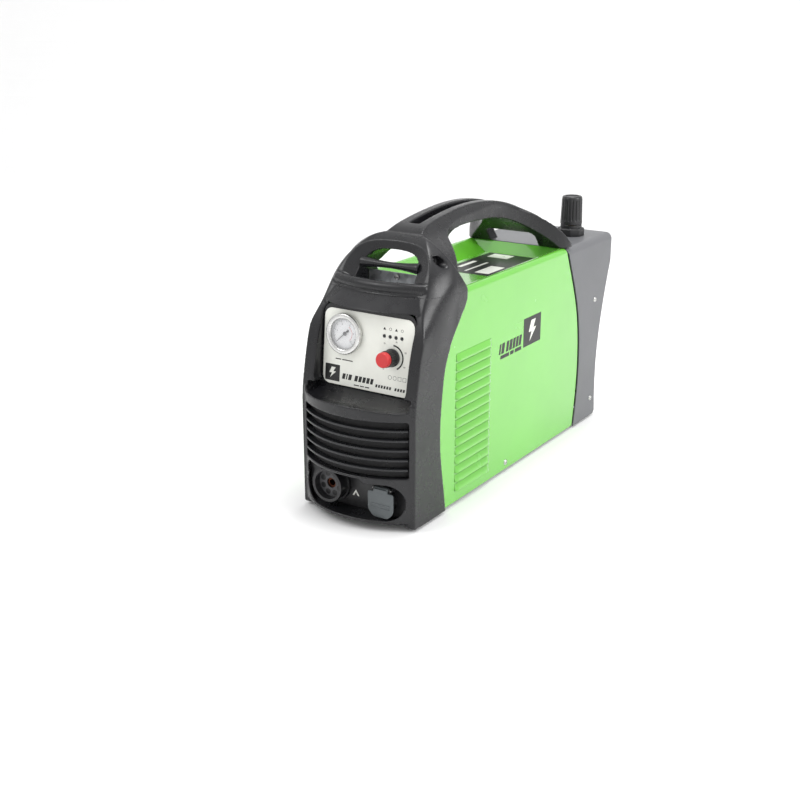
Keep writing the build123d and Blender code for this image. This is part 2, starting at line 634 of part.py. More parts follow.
with BuildPart() as gauge_bezel:
    with BuildSketch(CONTROL):
        with Locations(GAUGE):
            Circle(24)
            Circle(21.6, mode=Mode.SUBTRACT)
    extrude(amount=4.6)
    with BuildSketch(CONTROL.offset(4.6)):
        with Locations(GAUGE):
            Circle(24)
            Circle(17.5, mode=Mode.SUBTRACT)
    extrude(amount=2.2)
    chamfer(gauge_bezel.edges().filter_by(GeomType.CIRCLE).group_by(OUTWARD)[-1], 1.2)
gauge_bezel.part.label = "gauge_bezel"
export_step(gauge_bezel.part, "parts/gauge_bezel.step")

with BuildPart() as gauge_dial:
    with BuildSketch(CONTROL.offset(0.2)):
        with Locations(GAUGE):
            Circle(19.9)
            Circle(1.6, mode=Mode.SUBTRACT)
    extrude(amount=0.6)
gauge_dial.part.label = "gauge_dial"
export_step(gauge_dial.part, "parts/gauge_dial.step")

with BuildPart() as gauge_pointer:
    with BuildSketch(CONTROL.offset(1.5)):
        with Locations(Location(GAUGE, GAUGE_REST)):
            Circle(2.4)
            Polygon((0, 0.9), (15.5, 0.25), (15.5, -0.25), (0, -0.9), align=None)
            Polygon((0, 1.2), (-6.5, 1.6), (-6.5, -1.6), (0, -1.2), align=None)
    extrude(amount=0.6)
    with BuildSketch(CONTROL.offset(-14)):
        with Locations(GAUGE):
            Circle(1.0)
    extrude(amount=16)
gauge_pointer.part.label = "gauge_pointer"
export_step(gauge_pointer.part, "parts/gauge_pointer.step")

with BuildPart() as gauge_lens:
    with BuildSketch(CONTROL.offset(3.0)):
        with Locations(GAUGE):
            Circle(21.4)
    extrude(amount=1.5)
gauge_lens.part.label = "gauge_lens"
export_step(gauge_lens.part, "parts/gauge_lens.step")

# ---- current knob, potentiometer, lamps and control board ---------------------------------
with BuildPart() as current_knob:
    with BuildSketch(CONTROL.offset(0.8)):
        with Locations(DIAL_KNOB):
            Circle(10.2)
    extrude(amount=3)
    with BuildSketch(CONTROL.offset(3.8)):
        with Locations(DIAL_KNOB):
            Circle(9.4)
            with PolarLocations(9.9, 20):
                Circle(0.9, mode=Mode.SUBTRACT)
    extrude(amount=11.2)
    with BuildSketch(CONTROL.offset(-10.5)):
        with Locations(DIAL_KNOB):
            Circle(3)
    extrude(amount=12)
current_knob.part.label = "current_knob"
export_step(current_knob.part, "parts/current_knob.step")

with BuildPart() as knob_cap:
    with BuildSketch(CONTROL.offset(15)):
        with Locations(DIAL_KNOB):
            Circle(10)
    extrude(amount=7.2)
    fillet(knob_cap.edges().filter_by(GeomType.CIRCLE).sort_by(OUTWARD)[-1], 1.4)
knob_cap.part.label = "knob_cap"
export_step(knob_cap.part, "parts/knob_cap.step")

with BuildPart() as potentiometer:
    with BuildSketch(CONTROL.offset(-12.5)):
        with Locations(DIAL_KNOB):
            Circle(8)
    extrude(amount=9.6)
    with BuildSketch(CONTROL.offset(-2.9)):
        with Locations(DIAL_KNOB):
            Circle(3.8)
    extrude(amount=2.6)
    with BuildSketch(CONTROL.offset(-11.5)):
        with Locations(DIAL_KNOB):
            Circle(3.06)
    extrude(amount=14, mode=Mode.SUBTRACT)
    with BuildSketch(CONTROL.offset(-14.4)):
        with Locations(DIAL_KNOB):
            with Locations((-5, 0), (0, 0), (5, 0)):
                Rectangle(1, 2)
    extrude(amount=1.9)
potentiometer.part.label = "potentiometer"
export_step(potentiometer.part, "parts/potentiometer.step")

with BuildPart() as indicator_lamps:
    with BuildSketch(CONTROL.offset(-14.4)):
        with Locations(*LAMPS):
            Circle(2.0)
    extrude(amount=15.2)
    fillet(indicator_lamps.edges().filter_by(GeomType.CIRCLE).group_by(OUTWARD)[-1], 0.7)
indicator_lamps.part.label = "indicator_lamps"
export_step(indicator_lamps.part, "parts/indicator_lamps.step")

with BuildPart() as control_board:
    with BuildSketch(CONTROL.offset(-16)):
        with Locations((32, 55)):
            Rectangle(56, 56)
    extrude(amount=1.6)
    with BuildSketch(CONTROL.offset(-14.4)):
        with Locations((8, 31), (56, 31), (8, 79), (56, 79)):
            Circle(2.5)
    extrude(amount=11.6)
    with BuildSketch(CONTROL.offset(-21)):
        with Locations((18, 60), (42, 62)):
            Rectangle(14, 9)
    extrude(amount=5)
control_board.part.label = "control_board"
export_step(control_board.part, "parts/control_board.step")

# ---- torch socket -------------------------------------------------------------------------
SOCKET_Y = FRONT + SOCKET_DEPTH
with BuildPart() as torch_socket:
    with BuildSketch(at_y(SOCKET_Y)):
        with Locations((TORCH_X, TORCH_Z)):
            Circle(22.5)
    extrude(amount=4)
    with BuildSketch(at_y(SOCKET_Y - 4)):
        with Locations((TORCH_X, TORCH_Z)):
            Circle(20.5)
    extrude(amount=13)
    with BuildSketch(at_y(SOCKET_Y + 24)):
        with Locations((TORCH_X, TORCH_Z)):
            Circle(16.6)
    extrude(amount=24)
    with BuildSketch(at_y(SOCKET_Y - 17)):
        with Locations((TORCH_X, TORCH_Z)):
            Circle(17)
    extrude(amount=-9, mode=Mode.SUBTRACT)
    with BuildSketch(at_y(SOCKET_Y - 17)):
        with Locations((TORCH_X, TORCH_Z)):
            Circle(6)
            with PolarLocations(12.2, 8, start_angle=22.5):
                Circle(2.2)
    extrude(amount=-60, mode=Mode.SUBTRACT)
torch_socket.part.label = "torch_socket"
export_step(torch_socket.part, "parts/torch_socket.step")

with BuildPart() as torch_contacts:
    with BuildSketch(at_y(SOCKET_Y + 26)):
        with Locations((TORCH_X, TORCH_Z)):
            with PolarLocations(12.2, 8, start_angle=22.5):
                Circle(2.2)
                Circle(1.1, mode=Mode.SUBTRACT)
    extrude(amount=32)
torch_contacts.part.label = "torch_contacts"
export_step(torch_contacts.part, "parts/torch_contacts.step")

with BuildPart() as torch_gas_tube:
    with BuildSketch(at_y(SOCKET_Y + 32)):
        with Locations((TORCH_X, TORCH_Z)):
            Circle(6)
    extrude(amount=38)
    with BuildSketch(at_y(SOCKET_Y + 32)):
        with Locations((TORCH_X, TORCH_Z)):
            Circle(HOSE_R)
    extrude(amount=40, mode=Mode.SUBTRACT)
torch_gas_tube.part.label = "torch_gas_tube"
export_step(torch_gas_tube.part, "parts/torch_gas_tube.step")

# ---- earth socket under its flap ----------------------------------------------------------
with BuildPart() as earth_socket:
    with BuildSketch(at_y(SOCKET_Y)):
        with Locations((EARTH_X, EARTH_Z)):
            Circle(12.5)
    extrude(amount=10.5)
    with BuildSketch(at_y(SOCKET_Y + 24)):
        with Locations((EARTH_X, EARTH_Z)):
            Circle(11.8)
    extrude(amount=24)
    with BuildSketch(at_y(SOCKET_Y - 20)):
        with Locations((EARTH_X, EARTH_Z)):
            Circle(9)
    extrude(amount=-60, mode=Mode.SUBTRACT)
earth_socket.part.label = "earth_socket"
export_step(earth_socket.part, "parts/earth_socket.step")

with BuildPart() as earth_contact:
    with BuildSketch(at_y(SOCKET_Y + 30)):
        with Locations((EARTH_X, EARTH_Z)):
            Circle(9)
    extrude(amount=38)
    with BuildSketch(at_y(SOCKET_Y + 20)):
        with Locations((EARTH_X, EARTH_Z)):
            Circle(6.6)
    extrude(amount=30, mode=Mode.SUBTRACT)
    with BuildSketch(at_y(SOCKET_Y + 30)):
        with Locations((EARTH_X, EARTH_Z)):
            Circle(3)
    extrude(amount=7, mode=Mode.SUBTRACT)
earth_contact.part.label = "earth_contact"
export_step(earth_contact.part, "parts/earth_contact.step")

with BuildPart() as flap_bracket:
    with BuildSketch(Plane.YZ.offset(EARTH_X + 9.6)):
        with Locations((SOCKET_Y - 6.1, FLAP_AXIS_Z)):
            Rectangle(12.2, 5)
    extrude(amount=2)
    with BuildSketch(Plane.YZ.offset(EARTH_X - 11.6)):
        with Locations((SOCKET_Y - 6.1, FLAP_AXIS_Z)):
            Rectangle(12.2, 5)
    extrude(amount=2)
    with BuildSketch(at_y(SOCKET_Y)):
        with Locations((EARTH_X, FLAP_AXIS_Z + 3)):
            Rectangle(23.2, 6)
    extrude(amount=1.5)
    with BuildSketch(Plane.YZ.offset(EARTH_X - 13)):
        with Locations((FLAP_AXIS_Y, FLAP_AXIS_Z)):
            Circle(1.2)
    extrude(amount=26, mode=Mode.SUBTRACT)
flap_bracket.part.label = "flap_bracket"
export_step(flap_bracket.part, "parts/flap_bracket.step")

with BuildPart() as flap_pin:
    with BuildSketch(Plane.YZ.offset(EARTH_X - 12.4)):
        with Locations((FLAP_AXIS_Y, FLAP_AXIS_Z)):
            Circle(1.2)
    extrude(amount=24.8)
flap_pin.part.label = "flap_pin"
export_step(flap_pin.part, "parts/flap_pin.step")

FLAP_FRONT = FRONT - 13.0
with BuildPart() as earth_flap:
    with BuildSketch(at_y(FLAP_FRONT + 2.5)):
        with Locations((EARTH_X, EARTH_Z - 1.5)):
            RectangleRounded(34, 31, 7)
        with Locations((EARTH_X, EARTH_Z + 13.5)):
            Rectangle(18.4, 8)
    extrude(amount=2.5)
    with BuildSketch(Plane.YZ.offset(EARTH_X - 9.2)):
        with Locations((FLAP_AXIS_Y, FLAP_AXIS_Z)):
            Circle(2.8)
        with Locations((FLAP_AXIS_Y - 2.2, FLAP_AXIS_Z - 1.4)):
            Rectangle(4.4, 2.8)
    extrude(amount=18.4)
    with BuildSketch(at_y(FLAP_FRONT)):
        with Locations((EARTH_X, EARTH_Z - 1), (EARTH_X, EARTH_Z - 5.5)):
            Rectangle(26, 1.4)
    extrude(amount=0.8)
    with BuildSketch(Plane.YZ.offset(EARTH_X - 13)):
        with Locations((FLAP_AXIS_Y, FLAP_AXIS_Z)):
            Circle(1.26)
    extrude(amount=26, mode=Mode.SUBTRACT)
earth_flap.part.label = "earth_flap"
export_step(earth_flap.part, "parts/earth_flap.step")

# ---- air regulator ------------------------------------------------------------------------
KNOB_Z = 276.5
with BuildPart() as regulator_body:
    with BuildSketch(Plane.XY.offset(208)):
        with Locations((REG_X, REG_Y)):
            RectangleRounded(36, 36, 6)
    extrude(amount=48)
    with BuildSketch(Plane.XY.offset(256)):
        with Locations((REG_X, REG_Y)):
            Circle(13.0)
    extrude(amount=19)
    with BuildSketch(Plane.XY.offset(230)):
        with Locations((REG_X, REG_Y)):
            Circle(4.06)
    extrude(amount=60, mode=Mode.SUBTRACT)
    with BuildSketch(at_y(REG_Y - 26)):
        with Locations((REG_X, 233)):
            Circle(5.5)
    extrude(amount=-8)
    with BuildSketch(Plane.YZ.offset(REG_X - 26)):
        with Locations((REG_Y, 233)):
            Circle(5.5)
        with Locations((REG_Y, 216)):
            Circle(4.0)
    extrude(amount=8)
regulator_body.part.label = "regulator_body"
export_step(regulator_body.part, "parts/regulator_body.step")

with BuildPart() as regulator_nut:
    with BuildSketch(Plane.XY.offset(BOX_TOP)):
        with Locations((REG_X, REG_Y)):
            RegularPolygon(18.8, 8)
            Circle(13.0, mode=Mode.SUBTRACT)
    extrude(amount=11)
    chamfer(regulator_nut.edges().filter_by(Axis.Z, reverse=True).group_by(Axis.Z)[-1]
            .filter_by(GeomType.LINE), 1.6)
    with BuildSketch(Plane.XY.offset(BOX_TOP + 11)):
        with Locations((REG_X, REG_Y)):
            Circle(14.6)
            Circle(13.05, mode=Mode.SUBTRACT)
    extrude(amount=4.0)
regulator_nut.part.label = "regulator_nut"
export_step(regulator_nut.part, "parts/regulator_nut.step")

with BuildPart() as regulator_screw:
    with BuildSketch(Plane.XY.offset(236)):
        with Locations((REG_X, REG_Y)):
            Circle(4.0)
    extrude(amount=41)
    with BuildSketch(Plane.XY.offset(277)):
        with Locations((REG_X, REG_Y)):
            RegularPolygon(6.5, 6, major_radius=False)
    extrude(amount=24)
regulator_screw.part.label = "regulator_screw"
export_step(regulator_screw.part, "parts/regulator_screw.step")

with BuildPart() as regulator_knob:
    with BuildSketch(Plane.XY.offset(KNOB_Z)):
        with Locations((REG_X, REG_Y)):
            Circle(15.0)
    extrude(amount=38.5, taper=1.6)
    fillet(regulator_knob.edges().filter_by(GeomType.CIRCLE).sort_by(Axis.Z)[-1], 2)
    with BuildSketch(Plane.XY.offset(KNOB_Z + 4)):
        with Locations((REG_X, REG_Y)):
            with PolarLocations(15.1, 24):
                Circle(0.8)
    extrude(amount=40, mode=Mode.SUBTRACT)
    with BuildSketch(Plane.XY.offset(KNOB_Z)):
        with Locations((REG_X, REG_Y)):
            RegularPolygon(6.56, 6, major_radius=False)
    extrude(amount=33, mode=Mode.SUBTRACT)
regulator_knob.part.label = "regulator_knob"
export_step(regulator_knob.part, "parts/regulator_knob.step")

with BuildPart() as filter_bowl:
    with BuildSketch(Plane.XY.offset(208)):
        with Locations((REG_X, REG_Y)):
            Circle(16)
    extrude(amount=-48)
    fillet(filter_bowl.edges().filter_by(GeomType.CIRCLE).sort_by(Axis.Z)[0], 8)
    with BuildSketch(Plane.XY.offset(208)):
        with Locations((REG_X, REG_Y)):
            Circle(13.5)
    extrude(amount=-42, mode=Mode.SUBTRACT)
    with BuildSketch(Plane.XY.offset(163)):
        with Locations((REG_X, REG_Y)):
            Circle(4)
    extrude(amount=-11)
filter_bowl.part.label = "filter_bowl"
export_step(filter_bowl.part, "parts/filter_bowl.step")

# ---- air inlet and mains gland on the rear panel ------------------------------------------
with BuildPart() as air_inlet:
    with BuildSketch(at_y(FRONT + 468)):
        with Locations((INLET_X, INLET_Z)):
            Circle(6)
    extrude(amount=-13)
    with BuildSketch(at_y(FRONT + 474)):
        with Locations((INLET_X, INLET_Z)):
            RegularPolygon(8.5, 6, major_radius=False)
    extrude(amount=-5.5)
    with BuildSketch(at_y(PANEL_OUT)):
        with Locations((INLET_X, INLET_Z)):
            RegularPolygon(8.5, 6, major_radius=False)
    extrude(amount=-6)
    with BuildSketch(at_y(PANEL_OUT + 6)):
        with Locations((INLET_X, INLET_Z)):
            Circle(5)
    extrude(amount=-16)
    with BuildSketch(at_y(PANEL_OUT + 22)):
        with Locations((INLET_X, INLET_Z)):
            Circle(3.8)
    extrude(amount=-6)
    with BuildSketch(at_y(FRONT + 460)):
        with Locations((INLET_X, INLET_Z)):
            Circle(2.4)
    extrude(amount=-60, mode=Mode.SUBTRACT)
air_inlet.part.label = "air_inlet"
export_step(air_inlet.part, "parts/air_inlet.step")

with BuildPart() as cable_gland:
    with BuildSketch(at_y(FRONT + 472)):
        with Locations((GLAND_X, GLAND_Z)):
            Circle(8)
    extrude(amount=-9)
    with BuildSketch(at_y(FRONT + 474.5)):
        with Locations((GLAND_X, GLAND_Z)):
            RegularPolygon(11, 6, major_radius=False)
    extrude(amount=-5)
    with BuildSketch(at_y(PANEL_OUT)):
        with Locations((GLAND_X, GLAND_Z)):
            RegularPolygon(11, 6, major_radius=False)
    extrude(amount=-6)
    with BuildSketch(at_y(PANEL_OUT + 6)):
        with Locations((GLAND_X, GLAND_Z)):
            Circle(9.6)
    extrude(amount=-14, taper=8)
    with BuildSketch(at_y(FRONT + 460)):
        with Locations((GLAND_X, GLAND_Z)):
            Circle(4.5)
    extrude(amount=-60, mode=Mode.SUBTRACT)
cable_gland.part.label = "cable_gland"
export_step(cable_gland.part, "parts/cable_gland.step")

# ---- mains rocker switch ------------------------------------------------------------------
ROCKER_DEPTH = 4.0      # rocker axis below the housing's face
ROCKER_TILT = 10.0
with BuildPart() as switch_housing:
    with BuildSketch(SWITCH):
        RectangleRounded(32, 24, 2)
    extrude(amount=2)
    with BuildSketch(SWITCH.offset(-18)):
        Rectangle(27.2, 19.2)
    extrude(amount=18)
    with BuildSketch(SWITCH.offset(2)):
        Rectangle(24.2, 17.2)
    extrude(amount=-11, mode=Mode.SUBTRACT)
    with BuildSketch(Plane(origin=SWITCH.origin, x_dir=SWITCH.y_dir, z_dir=SWITCH.x_dir)
                     .offset(-14)):
        with Locations((0, 2 - ROCKER_DEPTH)):
            Circle(1.56)
    extrude(amount=28, mode=Mode.SUBTRACT)
    with BuildSketch(SWITCH.offset(-24)):
        with Locations((-8, 0), (8, 0)):
            Rectangle(1, 6)
    extrude(amount=6.5)
switch_housing.part.label = "switch_housing"
export_step(switch_housing.part, "parts/switch_housing.step")

ROCKER_ACROSS = Plane(origin=SWITCH.origin, x_dir=SWITCH.y_dir, z_dir=SWITCH.x_dir)
with BuildPart() as switch_rocker:
    with BuildSketch(ROCKER_ACROSS.offset(-11.6)):
        with Locations(Location((0, 2 - ROCKER_DEPTH), -ROCKER_TILT)):
            Polygon((-7.2, 6.2), (0, 3.4), (7.2, 6.2), (6.0, -2.0), (-6.0, -2.0), align=None)
    extrude(amount=23.2)
    with BuildSketch(ROCKER_ACROSS.offset(-13.2)):
        with Locations((0, 2 - ROCKER_DEPTH)):
            Circle(1.5)
    extrude(amount=26.4)
switch_rocker.part.label = "switch_rocker"
export_step(switch_rocker.part, "parts/switch_rocker.step")

# ---- cooling fan --------------------------------------------------------------------------
FAN_IN = FRONT + 459.5
with BuildPart() as fan_frame:
    with BuildSketch(at_y(FAN_IN + 20)):
        with Locations((FAN_X, FAN_Z)):
            RectangleRounded(70, 70, 4)
            Circle(32.5, mode=Mode.SUBTRACT)
    extrude(amount=20)
    with BuildSketch(at_y(FAN_IN + 2.5)):
        with Locations((FAN_X, FAN_Z)):
            Circle(13)
            with PolarLocations(23, 4, start_angle=45):
                Rectangle(22, 3)
    extrude(amount=2.5)
    with BuildSketch(at_y(FAN_IN + 12)):
        with Locations((FAN_X, FAN_Z)):
            Circle(4)
    extrude(amount=10)
    with BuildSketch(at_y(FAN_IN)):
        with Locations((FAN_X, FAN_Z)):
            Circle(2.06)
    extrude(amount=-20, mode=Mode.SUBTRACT)
fan_frame.part.label = "fan_frame"
export_step(fan_frame.part, "parts/fan_frame.step")

BLADES = 7
with BuildPart() as fan_rotor:
    with BuildSketch(at_y(FAN_IN + 17.5)):
        with Locations((FAN_X, FAN_Z)):
            Circle(15)
    extrude(amount=14)
    with BuildSketch(at_y(FAN_IN + 15)):
        with Locations((FAN_X, FAN_Z)):
            Circle(13)
    extrude(amount=20, mode=Mode.SUBTRACT)
    with BuildSketch(at_y(FAN_IN + 15.5)):
        with Locations((FAN_X, FAN_Z)):
            Circle(2)
    extrude(amount=14)
    for blade in range(BLADES):
        with BuildSketch(Plane(origin=(FAN_X, FAN_IN + 10.5, FAN_Z), x_dir=(0, 1, 0),
                               z_dir=(cos(radians(blade * 360 / BLADES)), 0,
                                      sin(radians(blade * 360 / BLADES)))).offset(14)):
            with Locations(Location((0, 0), 38)):
                Rectangle(15, 1.6)
        extrude(amount=17.4)
fan_rotor.part.label = "fan_rotor"
export_step(fan_rotor.part, "parts/fan_rotor.step")

with BuildPart() as fan_guard:
    with BuildSketch(at_y(PANEL_OUT)):
        with Locations((FAN_X, FAN_Z)):
            for ring in (9, 17, 25, 33):
                Circle(ring + 1)
                Circle(ring - 1, mode=Mode.SUBTRACT)
            Circle(5)
            with Locations(Location((0, 0), 45), Location((0, 0), 135)):
                Rectangle(76, 2.2)
    extrude(amount=-2.2)
fan_guard.part.label = "fan_guard"
export_step(fan_guard.part, "parts/fan_guard.step")

# ---- solenoid valve -----------------------------------------------------------------------
VALVE_X, VALVE_Y, VALVE_Z = 48.0, FRONT + 403.0, 111.0
with BuildPart() as solenoid_body:
    with BuildSketch(Plane.XY.offset(VALVE_Z - 11)):
        with Locations((VALVE_X, VALVE_Y)):
            Rectangle(24, 30)
    extrude(amount=22)
    with BuildSketch(at_y(FRONT + 388)):
        with Locations((VALVE_X, VALVE_Z)):
            Circle(6)
    extrude(amount=6)
    with BuildSketch(Plane.YZ.offset(VALVE_X - 18)):
        with Locations((VALVE_Y, VALVE_Z)):
            Circle(5.5)
    extrude(amount=6)
    with BuildSketch(Plane.XY.offset(VALVE_Z + 11)):
        with Locations((VALVE_X, VALVE_Y)):
            Circle(6)
    extrude(amount=36)
    with BuildSketch(Plane.XY.offset(VALVE_Z + 11)):
        with Locations((VALVE_X, VALVE_Y)):
            Circle(5.06)
    extrude(amount=24, mode=Mode.SUBTRACT)
solenoid_body.part.label = "solenoid_body"
export_step(solenoid_body.part, "parts/solenoid_body.step")

with BuildPart() as solenoid_plunger:
    with BuildSketch(Plane.XY.offset(VALVE_Z + 11.4)):
        with Locations((VALVE_X, VALVE_Y)):
            Circle(5.0)
    extrude(amount=20)
solenoid_plunger.part.label = "solenoid_plunger"
export_step(solenoid_plunger.part, "parts/solenoid_plunger.step")

with BuildPart() as solenoid_coil:
    with BuildSketch(Plane.XY.offset(VALVE_Z + 11)):
        with Locations((VALVE_X, VALVE_Y)):
            RectangleRounded(24, 26, 4)
            Circle(6, mode=Mode.SUBTRACT)
    extrude(amount=30)
solenoid_coil.part.label = "solenoid_coil"
export_step(solenoid_coil.part, "parts/solenoid_coil.step")

# ---- air hoses ----------------------------------------------------------------------------


def hose(route, radius, bend):
    """Round hose along straight runs joined by tangent arcs."""
    with BuildPart() as tube:
        with BuildLine() as line:
            FilletPolyline(*route, radius=bend)
        path = line.wires()[0]
        with BuildSketch(Plane(origin=path @ 0, z_dir=path % 0)):
            Circle(radius)
        sweep(path=path)
    return tube.part


inlet_hose = hose([(INLET_X, FRONT + 468, INLET_Z), (INLET_X, FRONT + 426, INLET_Z),
                   (INLET_X, FRONT + 426, 233), (INLET_X, REG_Y - 26, 233)], HOSE_R, 13)
inlet_hose.label = "inlet_hose"
export_step(inlet_hose, "parts/inlet_hose.step")

outlet_hose = hose([(REG_X - 26, REG_Y, 233), (-10, REG_Y, 233), (-10, VALVE_Y, 233),
                    (-10, VALVE_Y, VALVE_Z), (VALVE_X - 18, VALVE_Y, VALVE_Z)], HOSE_R, 15)
outlet_hose.label = "outlet_hose"
export_step(outlet_hose, "parts/outlet_hose.step")

torch_hose = hose([(VALVE_X, FRONT + 382, VALVE_Z), (VALVE_X, FRONT + 78, VALVE_Z),
                   (TORCH_X, FRONT + 78, TORCH_Z), (TORCH_X, FRONT + 34, TORCH_Z)], HOSE_R, 20)
torch_hose.label = "torch_hose"
export_step(torch_hose, "parts/torch_hose.step")

GAUGE_TAIL = CONTROL.from_local_coords((GAUGE[0], GAUGE[1], -32))
GAUGE_TURN = CONTROL.from_local_coords((GAUGE[0], GAUGE[1], -60))
gauge_hose = hose([tuple(GAUGE_TAIL), tuple(GAUGE_TURN),
                   (GAUGE[0], FRONT + 120, 213), (GAUGE[0], FRONT + 420, 213),
                   (-12, REG_Y, 216), (REG_X - 26, REG_Y, 216)], 2.5, 9)
gauge_hose.label = "gauge_hose"
export_step(gauge_hose, "parts/gauge_hose.step")

# ---- power stage --------------------------------------------------------------------------
SINK_Y, SINK_LENGTH = FRONT + 120.0, 200.0
SINK_BOTTOM, SINK_BASE, SINK_TOP = 18.0, 92.0, 98.0
BOARD_Z = 122.0
BOARD_TOP = BOARD_Z + 1.6
with BuildPart() as power_supports:
    for depth in (135, 300):
        with BuildSketch(Plane.XY.offset(TRAY_TOP)):
            with Locations((0, FRONT + depth)):
                Rectangle(124, 14)
        extrude(amount=SINK_BOTTOM - TRAY_TOP)
    with BuildSketch(Plane.XY.offset(SINK_TOP)):
        with Locations((0, FRONT + 220)):
            with GridLocations(112, 90, 2, 3):
                RegularPolygon(3.2, 6)
    extrude(amount=BOARD_Z - SINK_TOP)
power_supports.part.label = "power_supports"
export_step(power_supports.part, "parts/power_supports.step")

with BuildPart() as heat_sink:
    with BuildSketch(at_y(SINK_Y)):
        with Locations((0, (SINK_BASE + SINK_TOP) / 2)):
            Rectangle(120, SINK_TOP - SINK_BASE)
        with Locations((0, (SINK_BOTTOM + SINK_BASE) / 2)):
            with GridLocations(10.6, 10, 12, 1):
                Rectangle(2.6, SINK_BASE - SINK_BOTTOM)
    extrude(amount=-SINK_LENGTH)
heat_sink.part.label = "heat_sink"
export_step(heat_sink.part, "parts/heat_sink.step")

with BuildPart() as power_modules:
    with BuildSketch(Plane.XY.offset(SINK_TOP)):
        with Locations((0, FRONT + 220)):
            with GridLocations(52, 40, 2, 4):
                Rectangle(28, 24)
    extrude(amount=12)
power_modules.part.label = "power_modules"
export_step(power_modules.part, "parts/power_modules.step")

with BuildPart() as power_board:
    with BuildSketch(Plane.XY.offset(BOARD_Z)):
        with Locations((0, FRONT + 220)):
            Rectangle(128, 216)
    extrude(amount=1.6)
    with BuildSketch(Plane.XY.offset(BOARD_TOP)):
        with Locations((46, FRONT + 205), (46, FRONT + 235), (-50, FRONT + 225)):
            Rectangle(16, 22)
    extrude(amount=14)
power_board.part.label = "power_board"
export_step(power_board.part, "parts/power_board.step")

CAPACITORS = [(x, FRONT + y) for x in (-28, 12) for y in (256, 292)]
with BuildPart() as capacitors:
    with BuildSketch(Plane.XY.offset(BOARD_TOP)):
        with Locations(*CAPACITORS):
            Circle(15)
    extrude(amount=50)
    fillet(capacitors.edges().filter_by(GeomType.CIRCLE).group_by(Axis.Z)[-1], 1.5)
capacitors.part.label = "capacitors"
export_step(capacitors.part, "parts/capacitors.step")

with BuildPart() as transformer:
    with BuildSketch(at_y(FRONT + 140)):
        with Locations((-28, BOARD_TOP + 24)):
            Rectangle(56, 48)
        with Locations((-41.5, BOARD_TOP + 24), (-14.5, BOARD_TOP + 24)):
            Rectangle(11, 32, mode=Mode.SUBTRACT)
    extrude(amount=-22)
transformer.part.label = "transformer_core"
export_step(transformer.part, "parts/transformer_core.step")

with BuildPart() as transformer_winding:
    with BuildSketch(Plane.XY.offset(BOARD_TOP + 8.5)):
        with Locations((-28, FRONT + 151)):
            RectangleRounded(37, 42, 9)
            Rectangle(16, 22, mode=Mode.SUBTRACT)
    extrude(amount=31)
transformer_winding.part.label = "transformer_winding"
export_step(transformer_winding.part, "parts/transformer_winding.step")

with BuildPart() as output_choke:
    with BuildSketch(Plane.XY.offset(BOARD_TOP)):
        with Locations((34, FRONT + 151)):
            Circle(26)
            Circle(10, mode=Mode.SUBTRACT)
    extrude(amount=24)
    fillet(output_choke.edges().filter_by(GeomType.CIRCLE), 5)
output_choke.part.label = "output_choke"
export_step(output_choke.part, "parts/output_choke.step")

# ---- screws -------------------------------------------------------------------------------
SIDE_SCREWS = ([(COVER_HALF, FRONT + 220, 13.0), (POCKET_FLOOR, POCKET_Y, POCKET_Z)]
               + [(BOX_HALF, y, z) for y, z in BOX_SCREWS])
with BuildPart() as case_screws:
    for x, y, z in SIDE_SCREWS:
        for hand in (1, -1):
            with BuildSketch(Plane.YZ.offset(hand * x)):
                with Locations((y, z)):
                    Circle(3.6)
            extrude(amount=hand * 2.0)
            with BuildSketch(Plane.YZ.offset(hand * x)):
                with Locations((y, z)):
                    Circle(1.8)
            extrude(amount=-hand * 3.0)
    with BuildSketch(at_y(CLOSING_Y)):
        with Locations((0, CLOSING_SCREW_Z)):
            Circle(4.0)
    extrude(amount=2.4)
    with BuildSketch(at_y(CLOSING_Y)):
        with Locations((0, CLOSING_SCREW_Z)):
            Circle(1.9)
    extrude(amount=-8)
case_screws.part.label = "case_screws"
export_step(case_screws.part, "parts/case_screws.step")
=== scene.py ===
import bpy
import bmesh
import json
import math
import random
from mathutils import Matrix, Vector


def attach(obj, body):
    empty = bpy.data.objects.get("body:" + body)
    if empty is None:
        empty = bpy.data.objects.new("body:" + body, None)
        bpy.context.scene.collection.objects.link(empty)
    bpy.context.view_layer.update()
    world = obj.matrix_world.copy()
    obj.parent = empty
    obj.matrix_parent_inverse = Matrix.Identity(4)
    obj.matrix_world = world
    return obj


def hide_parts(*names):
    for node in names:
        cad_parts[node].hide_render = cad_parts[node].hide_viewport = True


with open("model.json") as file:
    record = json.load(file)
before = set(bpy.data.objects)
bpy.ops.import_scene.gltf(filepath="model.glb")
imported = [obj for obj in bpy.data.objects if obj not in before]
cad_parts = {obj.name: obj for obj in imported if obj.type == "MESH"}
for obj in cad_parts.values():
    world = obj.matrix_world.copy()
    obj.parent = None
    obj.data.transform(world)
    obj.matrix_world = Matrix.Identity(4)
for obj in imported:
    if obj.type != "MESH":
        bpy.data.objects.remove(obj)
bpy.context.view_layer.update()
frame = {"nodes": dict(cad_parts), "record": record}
NODES = frame["nodes"]
random.seed(7)

# ---- the CAD model's own dimensions, millimetres -------------------------------------------
FRONT = -244.5                   # front faces of the side pillars
TILT = math.radians(5.5)         # lean of the control panel
PANEL_OUT = Vector((0, -math.cos(TILT), math.sin(TILT)))
COVER_HALF = 74.6
BOX_HALF = 76.0
PARTING_Z = 262.0                # joint line between the front and handle mouldings
GAUGE = (-31.3, 62.7)
KNOB = (33.6, 45.0)
LAMP_UP = 67.9
TORCH = (-33.0, 39.0)
EARTH = (40.0, 32.0)
REGULATOR = (35.0, 468.0)


def mm(x, depth, z):
    """A point given by X, distance behind the pillar fronts and height, in millimetres."""
    return Vector((x, FRONT + depth, z)) / 1000


